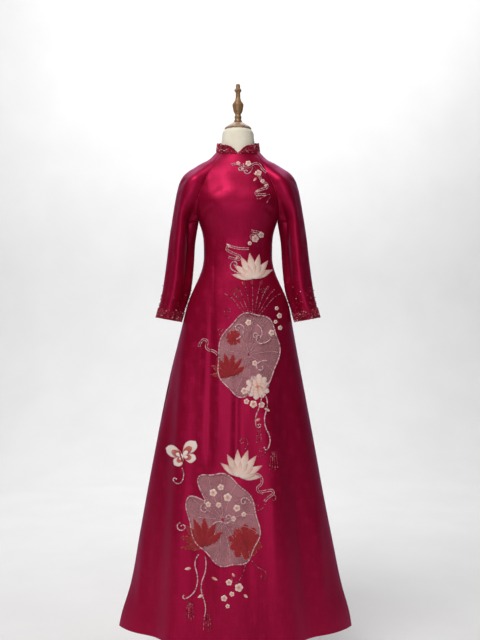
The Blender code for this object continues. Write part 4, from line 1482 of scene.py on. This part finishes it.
def butterfly(stitching, x, z, size, lean):
    """A butterfly with its four wings spread, a smaller field of colour on each."""
    for side in (-1, 1):
        for angle, length, width, bend in WINGS:
            for share, foot, tip, layer in WING_FIELDS:
                turn = 90 + lean - side * angle
                along, across = size * length * share, size * width * share
                grid = petal(x, z, turn, along, across, bend * side, 1.5, 0.6)
                stitching.add(grid, foot, tip, layer + (angle < 90))
    stitching.add(petal(x, z - size * 0.34, 90 + lean, size * 0.66, size * 0.11, 0, 1.0, 0.5), 0.95, 0.8, 5)


def leaf_edge(angle, notch, waves, depth):
    """The rim of a round leaf by angle: wavy, with a notch at one side."""
    off = np.abs((angle - notch + math.pi) % (2 * math.pi) - math.pi)
    return (1 + depth * np.sin(waves * angle)) * (1 - 0.42 * np.exp(-((off / 0.16) ** 2)))


class SheerLeaf:
    """A round leaf of organza laid on the cloth, with its rim and its veins."""

    def __init__(self, x, z, half_width, half_height, notch, waves, lean):
        self.middle = np.array((x, z))
        self.half = np.array((half_width, half_height))
        self.notch = math.radians(notch)
        self.waves = waves
        self.lean = math.radians(lean)

    def place(self, angle, share):
        """A place on the leaf by its angle and its share of the way out to the rim."""
        rim = leaf_edge(angle, self.notch, self.waves, 0.035)
        flat = np.stack([np.cos(angle) * rim * share, np.sin(angle) * rim * share], axis=-1) * self.half
        sine, cosine = math.sin(self.lean), math.cos(self.lean)
        return flat @ np.array(((cosine, sine), (-sine, cosine))) + self.middle

    def rim(self):
        """The line just inside the leaf's edge."""
        return self.place(np.linspace(0, 2 * math.pi, 181), np.full(181, 0.995))

    def veins(self, count):
        """Lines from the middle of the leaf almost to its rim."""
        lines = []
        for i in range(count):
            angle = self.notch + 2 * math.pi * (i + 0.5) / count
            share = np.linspace(0.06, 0.93, 24)
            lines.append(self.place(angle + 0.10 * np.sin(share * 3), share))
        return lines

    def build(self, name, ground, material):
        """Lays the leaf on the ground, with small puckers."""
        angles = np.linspace(0, 2 * math.pi, 121)[:-1]
        share, angle = np.meshgrid(np.linspace(0.03, 1, 22), angles, indexing="ij")
        puckers = PUCKER * (1 + np.sin(13 * angle + 5 * share)) * share * (1 - share) * 4
        places = self.place(angle, share)
        points = ground.lay(places, SHEER_LIFT + puckers).reshape(*share.shape, 3)
        closed = np.concatenate([points, points[:, :1]], axis=1)
        return cloth_shell(name, closed, SHEER_WALL, material, flip=True)


def organza_finish(settings):
    """Sheer organza: the weave shows as fine lines, and the cloth beneath shows through."""
    finish = Finish("mauve_organza", Roughness=0.55, Specular_IOR_Level=0.15)
    finish.set("Sheen Weight", 0.12)
    place = finish.place()
    warp = finish.noise(finish.scaled(place, (900, 900, 60)), 1.0)
    weft = finish.noise(finish.scaled(place, (60, 60, 900)), 1.0)
    mesh = warp * 0.5 + weft * 0.5
    cloud = finish.noise(place, 22, 3.0)
    pale = [min(1, c * 1.25) for c in settings.organza]
    finish.set("Base Color", finish.mix(cloud.step(0.3, 0.7), settings.organza, pale))
    finish.set("Alpha", settings.veil - 0.12 + mesh * 0.1 + cloud * 0.26)
    finish.bump(mesh, 0.2, 0.0003)
    return finish.material


def stitch_finish():
    """Silk thread: white through peach and coral to red by tone, with the lie of the stitches."""
    finish = tone_finish("silk_stitch", STITCH_TONES, "LINEAR", Roughness=0.5, Specular_IOR_Level=0.2)
    finish.set("Sheen Weight", 0.3)
    lie = finish.noise(finish.scaled(finish.uv(), (1900, 90, 1)), 1.0, 2.0)
    finish.bump(lie, 0.7, 0.0009)
    return finish.material


def line_object(name, ground, lines, lift):
    """One object that holds several lines laid on the cloth."""
    points, edges = [], []
    for line in lines:
        first = len(points)
        points += ground.lay(line, np.full(len(line), lift)).tolist()
        edges += [(first + i, first + i + 1) for i in range(len(line) - 1)]
    mesh = bpy.data.meshes.new(name)
    mesh.from_pydata(points, edges, [])
    return add_object(name, mesh)


# ---------------------------------------------------------------- settings
def size_of(name, text, value, **more):
    """A size in metres on the panel."""
    return bpy.props.FloatProperty(name=name, description=text, default=value, unit="LENGTH", **more)


def colour_of(name, text, value):
    """A colour on the panel."""
    return bpy.props.FloatVectorProperty(
        name=name, description=text, default=value, subtype="COLOR", size=3, min=0.0, max=1.0
    )


class AodaiCloth(bpy.types.PropertyGroup):
    """The satin of the tunic"""

    wall: size_of("Cloth", "How thick the satin and its lining are", 0.0012)
    collar_wall: size_of("Collar", "How thick the stiffened collar is", 0.0018)
    repeat: size_of("Flower repeat", "Distance from one woven flower to the next", 0.052)
    colour: colour_of("Crimson", "Colour of the satin", (0.340, 0.0025, 0.028))
    shade: colour_of("Deep crimson", "Colour of the satin where it is darker", (0.290, 0.002, 0.022))
    glow: colour_of("Thread", "Colour of the threads that catch the light", (0.460, 0.008, 0.060))


class AodaiBeads(bpy.types.PropertyGroup):
    """The beads and sequins"""

    seed_radius: size_of("Seed bead", "Radius of the glass beads of collar and cuffs", 0.0016)
    seed_gap: size_of("Seed gap", "Least distance between two of those beads", 0.0028)
    cord_radius: size_of("Cord bead", "Radius of the beads of the pale cords", 0.0021)
    cord_gap: size_of("Cord spacing", "From one bead of a cord to the next", 0.0039)
    twin_radius: size_of("Twin bead", "Radius of the beads of the twin cords", 0.0013)
    twin_gap: size_of("Twin spacing", "From one bead of a twin cord to the next", 0.0027)
    fine_radius: size_of("Fine bead", "Radius of the beads of veins and outlines", 0.0009)
    fine_gap: size_of("Fine spacing", "From one of those beads to the next", 0.0024)
    line_radius: size_of("Line bead", "Radius of the beads of the red lines", 0.0014)
    line_gap: size_of("Line spacing", "From one bead of a red line to the next", 0.0030)
    sequin_radius: size_of("Sequin", "Radius of a sequin", 0.0024)
    sequin_gap: size_of("Sequin gap", "Least distance between two sequins", 0.0030)
    cuff_band: size_of("Cuff band", "Height of the full band of beads at a cuff", 0.026)
    seed: bpy.props.IntProperty(name="Seed", description="Changes how the beads are strewn", default=4, min=0)


class AodaiNeedlework(bpy.types.PropertyGroup):
    """The colours and the height of the needlework"""

    organza: colour_of("Organza", "Colour of the sheer leaves", (0.50, 0.23, 0.26))
    pearl: colour_of("Pearl", "Colour of the beads on the cords", (0.68, 0.40, 0.43))
    sequin: colour_of("Sequin red", "Colour of the sequins", (0.46, 0.010, 0.018))
    puff: size_of("Stitch height", "How high the satin stitch stands over the cloth", 0.0016)
    veil: bpy.props.FloatProperty(
        name="Veil", description="How much a sheer leaf hides what is under it", default=0.4, min=0.1, max=1.0
    )


class AodaiStand(bpy.types.PropertyGroup):
    """The dress form"""

    linen: colour_of("Linen", "Colour of the dress form's cover", (0.94, 0.89, 0.74))
    wood: colour_of("Wood", "Colour of cap, finial and base", (0.40, 0.215, 0.085))
    turned_steps: bpy.props.IntProperty(
        name="Steps", description="How many flats a turned piece has round it", default=96, min=24
    )


class AodaiStage(bpy.types.PropertyGroup):
    """The camera and the room"""

    distance: size_of("Camera distance", "From the camera to the tunic's middle plane", 2.6)
    height: size_of("Camera height", "From the floor to the camera", 1.10)
    offset: size_of("Camera offset", "How far the camera stands to the right", 0.0151)
    wall: size_of("Wall", "From the tunic's middle plane to the wall behind it", 4.2)
    paint: colour_of("Paint", "Colour of wall and floor", (0.86, 0.86, 0.87))


# ---------------------------------------------------------------- operators
class AODAI_OT_panels(bpy.types.Operator):
    """Cut and hang the front and the back"""

    bl_idname = "aodai.panels"
    bl_label = "Front and back"

    def execute(self, context):
        settings = context.scene.aodai_cloth
        satin = satin_finish(settings)
        for panel, columns, flip in (("front", FRONT_COLUMNS, False), ("back", BACK_COLUMNS, True)):
            points = panel_grid(panel, columns)
            made = cloth_shell(panel + "_cloth", points, settings.wall, satin, flip)
            ride_on_root(made)
            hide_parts(panel + "_panel")
            note_cut(made, points)
        return {"FINISHED"}


class AODAI_OT_sleeves(bpy.types.Operator):
    """Cut and hang the two raglan sleeves"""

    bl_idname = "aodai.sleeves"
    bl_label = "Sleeves"

    def execute(self, context):
        settings = context.scene.aodai_cloth
        satin = bpy.data.materials["crimson_satin"]
        for name, side in (("sleeve_left", -1), ("sleeve_right", 1)):
            points = sleeve_grid(side, SLEEVE_COLUMNS)
            made = cloth_shell(name + "_cloth", points, settings.wall, satin, side > 0)
            ride_on_root(made)
            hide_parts(name)
            note_cut(made, points)
        return {"FINISHED"}


class AODAI_OT_collar(bpy.types.Operator):
    """Make the stand collar"""

    bl_idname = "aodai.collar"
    bl_label = "Collar"

    def execute(self, context):
        settings = context.scene.aodai_cloth
        satin = bpy.data.materials["crimson_satin"]
        points = collar_grid(COLLAR_COLUMNS, COLLAR_LEVELS)
        made = cloth_shell("collar_cloth", points, settings.collar_wall, satin)
        ride_on_root(made)
        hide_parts("collar")
        note_cut(made, points)
        return {"FINISHED"}


class AODAI_OT_edging(bpy.types.Operator):
    """Sew beads over the collar and round the cuffs"""

    bl_idname = "aodai.edging"
    bl_label = "Collar and cuff beads"

    def execute(self, context):
        settings = context.scene.aodai_beads
        tree = strewn_tree("strewn_beads", False)
        glass = glass_finish("garnet_glass", GARNET_AND_GLINT_TONES)
        spread = (glass, settings.seed_gap, settings.seed_radius)
        points = collar_grid(COLLAR_COLUMNS, COLLAR_LEVELS)
        band = patch_object("collar_beads", points, np.ones(points.shape[:2]))
        grow(band, tree, *spread, settings.seed)
        for name, side in (("left", -1), ("right", 1)):
            points = sleeve_grid(side, SLEEVE_COLUMNS)[-CUFF_ROWS:]
            steps = np.linalg.norm(np.diff(points, axis=0), axis=-1).mean(axis=1)
            above = np.append(np.cumsum(steps[::-1])[::-1], 0)
            thinning = STRAY_BEADS * np.exp(-(above - settings.cuff_band) / STRAY_REACH)
            density = np.where(above < settings.cuff_band, 1.0, thinning)
            full = np.broadcast_to(density[:, None], points.shape[:2])
            cuff = patch_object("cuff_beads_" + name, points, full, side > 0)
            grow(cuff, tree, *spread, settings.seed + 1 + side)
        return {"FINISHED"}


class AODAI_OT_needlework(bpy.types.Operator):
    """Sew the lotus leaves, flowers, cords and sequins on the front"""

    bl_idname = "aodai.needlework"
    bl_label = "Needlework"

    def execute(self, context):
        self.beads = context.scene.aodai_beads
        self.settings = context.scene.aodai_needlework
        front = bpy.data.objects["front_cloth"]
        leaves = self.lay_leaves(Ground(front))
        self.ground = Ground(front, *leaves)
        self.sew_flowers()
        self.string_beads()
        return {"FINISHED"}

    def lay_leaves(self, ground):
        """The sheer leaves, and the lines of their rims and veins."""
        organza = organza_finish(self.settings)
        made = []
        self.rims, self.veins = [], []
        for name, veins, shape in SHEER_LEAVES:
            leaf = SheerLeaf(*shape)
            self.rims.append(leaf.rim())
            self.veins += leaf.veins(veins)
            made.append(leaf.build("organza_leaf_" + name, ground, organza))
            ride_on_root(made[-1])
        return made

    def sew_flowers(self):
        """The flowers, the butterfly and the leaflets as thread, and sequins over the red ones."""
        silk, red = (Stitching(self.ground, self.settings.puff) for _ in range(2))
        for colour, x, z, size, lean in LOTUSES:
            if colour == "pale":
                lotus(silk, x, z, size, lean, 0.05, 0.50)
            else:
                lotus(red, x, z, size, lean, 1.0, 0.86)
        for colour, x, z, radius, turn in BLOOMS:
            if colour == "pale":
                bloom(silk, x, z, radius, 0.60, 0.10, turn)
            else:
                bloom(red, x, z, radius, 1.0, 0.84, turn)
        for x, z, radius, turn in BLOSSOMS:
            blossom(silk, x, z, radius, turn, 0.55, 0.0)
        for tone, x, z, turn, length, width in LEAFLETS:
            silk.add(petal(x, z, turn, length, width), tone + 0.3, tone)
        butterfly(silk, *BUTTERFLY)
        for x, z, turn in REED_HEADS:
            red.add(petal(x, z, turn, 0.018, 0.008), 0.9, 1.0)
        finish = stitch_finish()
        silk.sew("silk_flowers", finish)
        red.sew("red_flowers", finish)
        self.outlines = silk.edges
        self.red_outlines = red.edges
        scattered = red.bed("red_sequins", SEQUIN_SHARE)
        foil = sequin_finish(self.settings)
        spread = (foil, self.beads.sequin_gap, self.beads.sequin_radius)
        grow(scattered, strewn_tree("strewn_sequins", True), *spread, self.beads.seed, 30)

    def string_beads(self):
        """The beads of every line: cords, finer twin cords, red lines, veins and outlines."""
        beads = self.beads
        pearl = self.settings.pearl
        pale = [(0.0, [c * 0.60 for c in pearl]), (0.20, pearl), (0.55, [min(1, c * 1.30) for c in pearl])]
        pearls = glass_finish("pearl_glass", pale)
        rose = glass_finish("rose_glass", ROSE_TONES)
        coral = glass_finish("coral_glass", CORAL_TONES)
        twins = [line for shape in TWINS for line in twin(curl(*shape))]
        cords = [curl(*shape) for shape in CORDS] + self.rims
        lines = [curl(*shape) for shape in REDS] + reed_lines() + drop_lines()
        tree = strung_tree()
        strings = (
            ("pearl_cords", cords, pearls, beads.cord_gap, beads.cord_radius),
            ("twin_cords", twins, pearls, beads.twin_gap, beads.twin_radius),
            ("red_bead_lines", lines, rose, beads.line_gap, beads.line_radius),
            ("vein_beads", self.veins + self.outlines, pearls, beads.fine_gap, beads.fine_radius),
            ("coral_beads", self.red_outlines, coral, beads.fine_gap, beads.fine_radius),
        )
        for i, (name, strung, glass, gap, radius) in enumerate(strings):
            made = line_object(name, self.ground, strung, radius * BEAD_SINK)
            grow(made, tree, glass, gap, radius, beads.seed + i)


class AODAI_OT_declare(bpy.types.Operator):
    """An empty step: each piece's cut is kept on it where the piece is made."""

    bl_idname = "aodai.declare"
    bl_label = "State the cloth"

    def execute(self, context):
        return {"FINISHED"}


class AODAI_OT_stand(bpy.types.Operator):
    """Make the linen-covered form, its turned wood and its pole"""

    bl_idname = "aodai.stand"
    bl_label = "Dress form"

    def execute(self, context):
        settings = context.scene.aodai_stand
        rings = torso_grid(FORM_COLUMNS)
        rows, columns = rings.shape[:2]
        faces = grid_faces(rows, columns + 1)  # the last column is the first one again
        faces = (faces // (columns + 1)) * columns + (faces % (columns + 1)) % columns
        caps = [list(range(columns))[::-1], list(range((rows - 1) * columns, rows * columns))]
        mesh = bpy.data.meshes.new("form_cover")
        mesh.from_pydata(rings.reshape(-1, 3).tolist(), [], faces.tolist() + caps)
        made = add_object("form_cover", mesh, linen_finish(settings))
        mesh.shade_smooth()
        mesh.set_sharp_from_angle(angle=math.radians(50))
        ride_on_root(made)
        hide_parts("form_torso")
        wood = wood_finish(settings)
        pale = wood_finish(settings, "pale_wood", 0.55)
        for name, profile, material in (
            ("form_cap", CAP, pale),
            ("form_finial", FINIAL, wood),
            ("stand_base", BASE, wood),
        ):
            made = turned_piece(name + "_turned", profile, settings.turned_steps, material)
            ride_on_root(made)
            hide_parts(name)
        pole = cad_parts["stand_pole"]
        pole.data.materials.clear()
        pole.data.materials.append(steel_finish())
        return {"FINISHED"}


class AODAI_OT_stage(bpy.types.Operator):
    """Set the camera, the lights, the floor and the wall"""

    bl_idname = "aodai.stage"
    bl_label = "Stage"

    def execute(self, context):
        settings = context.scene.aodai_stage
        camera = bpy.data.cameras.new("camera")
        camera.sensor_fit = "VERTICAL"
        camera.sensor_height = SENSOR
        camera.lens = SENSOR * FOCAL_SHARE
        camera.shift_y = CAMERA_SHIFT
        holder = bpy.data.objects.new("camera", camera)
        holder.location = (settings.offset, -settings.distance, settings.height)
        holder.rotation_euler = (math.radians(90), 0, 0)
        context.scene.collection.objects.link(holder)
        context.scene.camera = holder
        context.scene.view_settings.view_transform = "Standard"
        self.room(settings)
        for name, place, aim, size, power, colour in LAMPS:
            lamp = bpy.data.lights.new(name, "AREA")
            lamp.shape = "RECTANGLE"
            lamp.size, lamp.size_y = size
            lamp.energy = power
            lamp.color = colour
            light = bpy.data.objects.new(name, lamp)
            light.location = place
            light.rotation_euler = (Vector(aim) - Vector(place)).to_track_quat("-Z", "Y").to_euler()
            context.scene.collection.objects.link(light)
        world = bpy.data.worlds.new("studio")
        world.use_nodes = True
        sky = world.node_tree.nodes["Background"].inputs
        sky["Color"].default_value = SKY_COLOUR
        sky["Strength"].default_value = SKY_STRENGTH
        context.scene.world = world
        return {"FINISHED"}

    def room(self, settings):
        """A floor that sweeps up into a wall."""
        profile = [(ROOM_NEAR, 0.0)]
        for angle in np.radians(np.linspace(0, 90, 13)):
            back = settings.wall - SWEEP_RADIUS + SWEEP_RADIUS * math.sin(angle)
            profile.append((back, SWEEP_RADIUS - SWEEP_RADIUS * math.cos(angle)))
        profile.append((settings.wall, ROOM_TOP))
        points = np.array([[(-ROOM_HALF, y, z), (ROOM_HALF, y, z)] for y, z in profile])
        mesh = bpy.data.meshes.new("studio_sweep")
        faces = grid_faces(len(profile), 2)
        mesh.from_pydata(points.reshape(-1, 3).tolist(), [], faces.tolist())
        mesh.shade_smooth()
        finish = Finish("pale_paint", Roughness=0.85)
        mottle = finish.noise(finish.place(), 3.0, 3.0)
        darker = [0.97 * c for c in settings.paint]
        finish.set("Base Color", finish.mix(mottle.step(0.3, 0.7), settings.paint, darker))
        add_object("studio_sweep", mesh, finish.material)


class AODAI_PT_panel(bpy.types.Panel):
    """Shows the settings and a button for each step."""

    bl_idname = "AODAI_PT_panel"
    bl_label = "Ao dai"
    bl_space_type = "VIEW_3D"
    bl_region_type = "UI"
    bl_category = "Ao dai"

    def draw(self, context):
        for group in GROUPS:
            settings = getattr(context.scene, group)
            box = self.layout.box()
            for name in settings.__annotations__:
                box.prop(settings, name)
        for operator in OPERATORS:
            self.layout.operator(operator.bl_idname)


GROUPS = {
    "aodai_cloth": AodaiCloth,
    "aodai_beads": AodaiBeads,
    "aodai_needlework": AodaiNeedlework,
    "aodai_stand": AodaiStand,
    "aodai_stage": AodaiStage,
}
OPERATORS = (
    AODAI_OT_stage,
    AODAI_OT_stand,
    AODAI_OT_panels,
    AODAI_OT_sleeves,
    AODAI_OT_collar,
    AODAI_OT_edging,
    AODAI_OT_needlework,
    AODAI_OT_declare,
)
CLASSES = (*GROUPS.values(), *OPERATORS, AODAI_PT_panel)


def register():
    """Adds the settings, the operators and the panel."""
    for item in CLASSES:
        bpy.utils.register_class(item)
    for name, group in GROUPS.items():
        setattr(bpy.types.Scene, name, bpy.props.PointerProperty(type=group))


def unregister():
    """Takes them away again."""
    for name in GROUPS:
        delattr(bpy.types.Scene, name)
    for item in reversed(CLASSES):
        bpy.utils.unregister_class(item)


def main():
    """Makes the whole scene, piece by piece."""
    register()
    for operator in OPERATORS:
        group, name = operator.bl_idname.split(".")
        getattr(getattr(bpy.ops, group), name)()


if __name__ == "__main__":
    main()
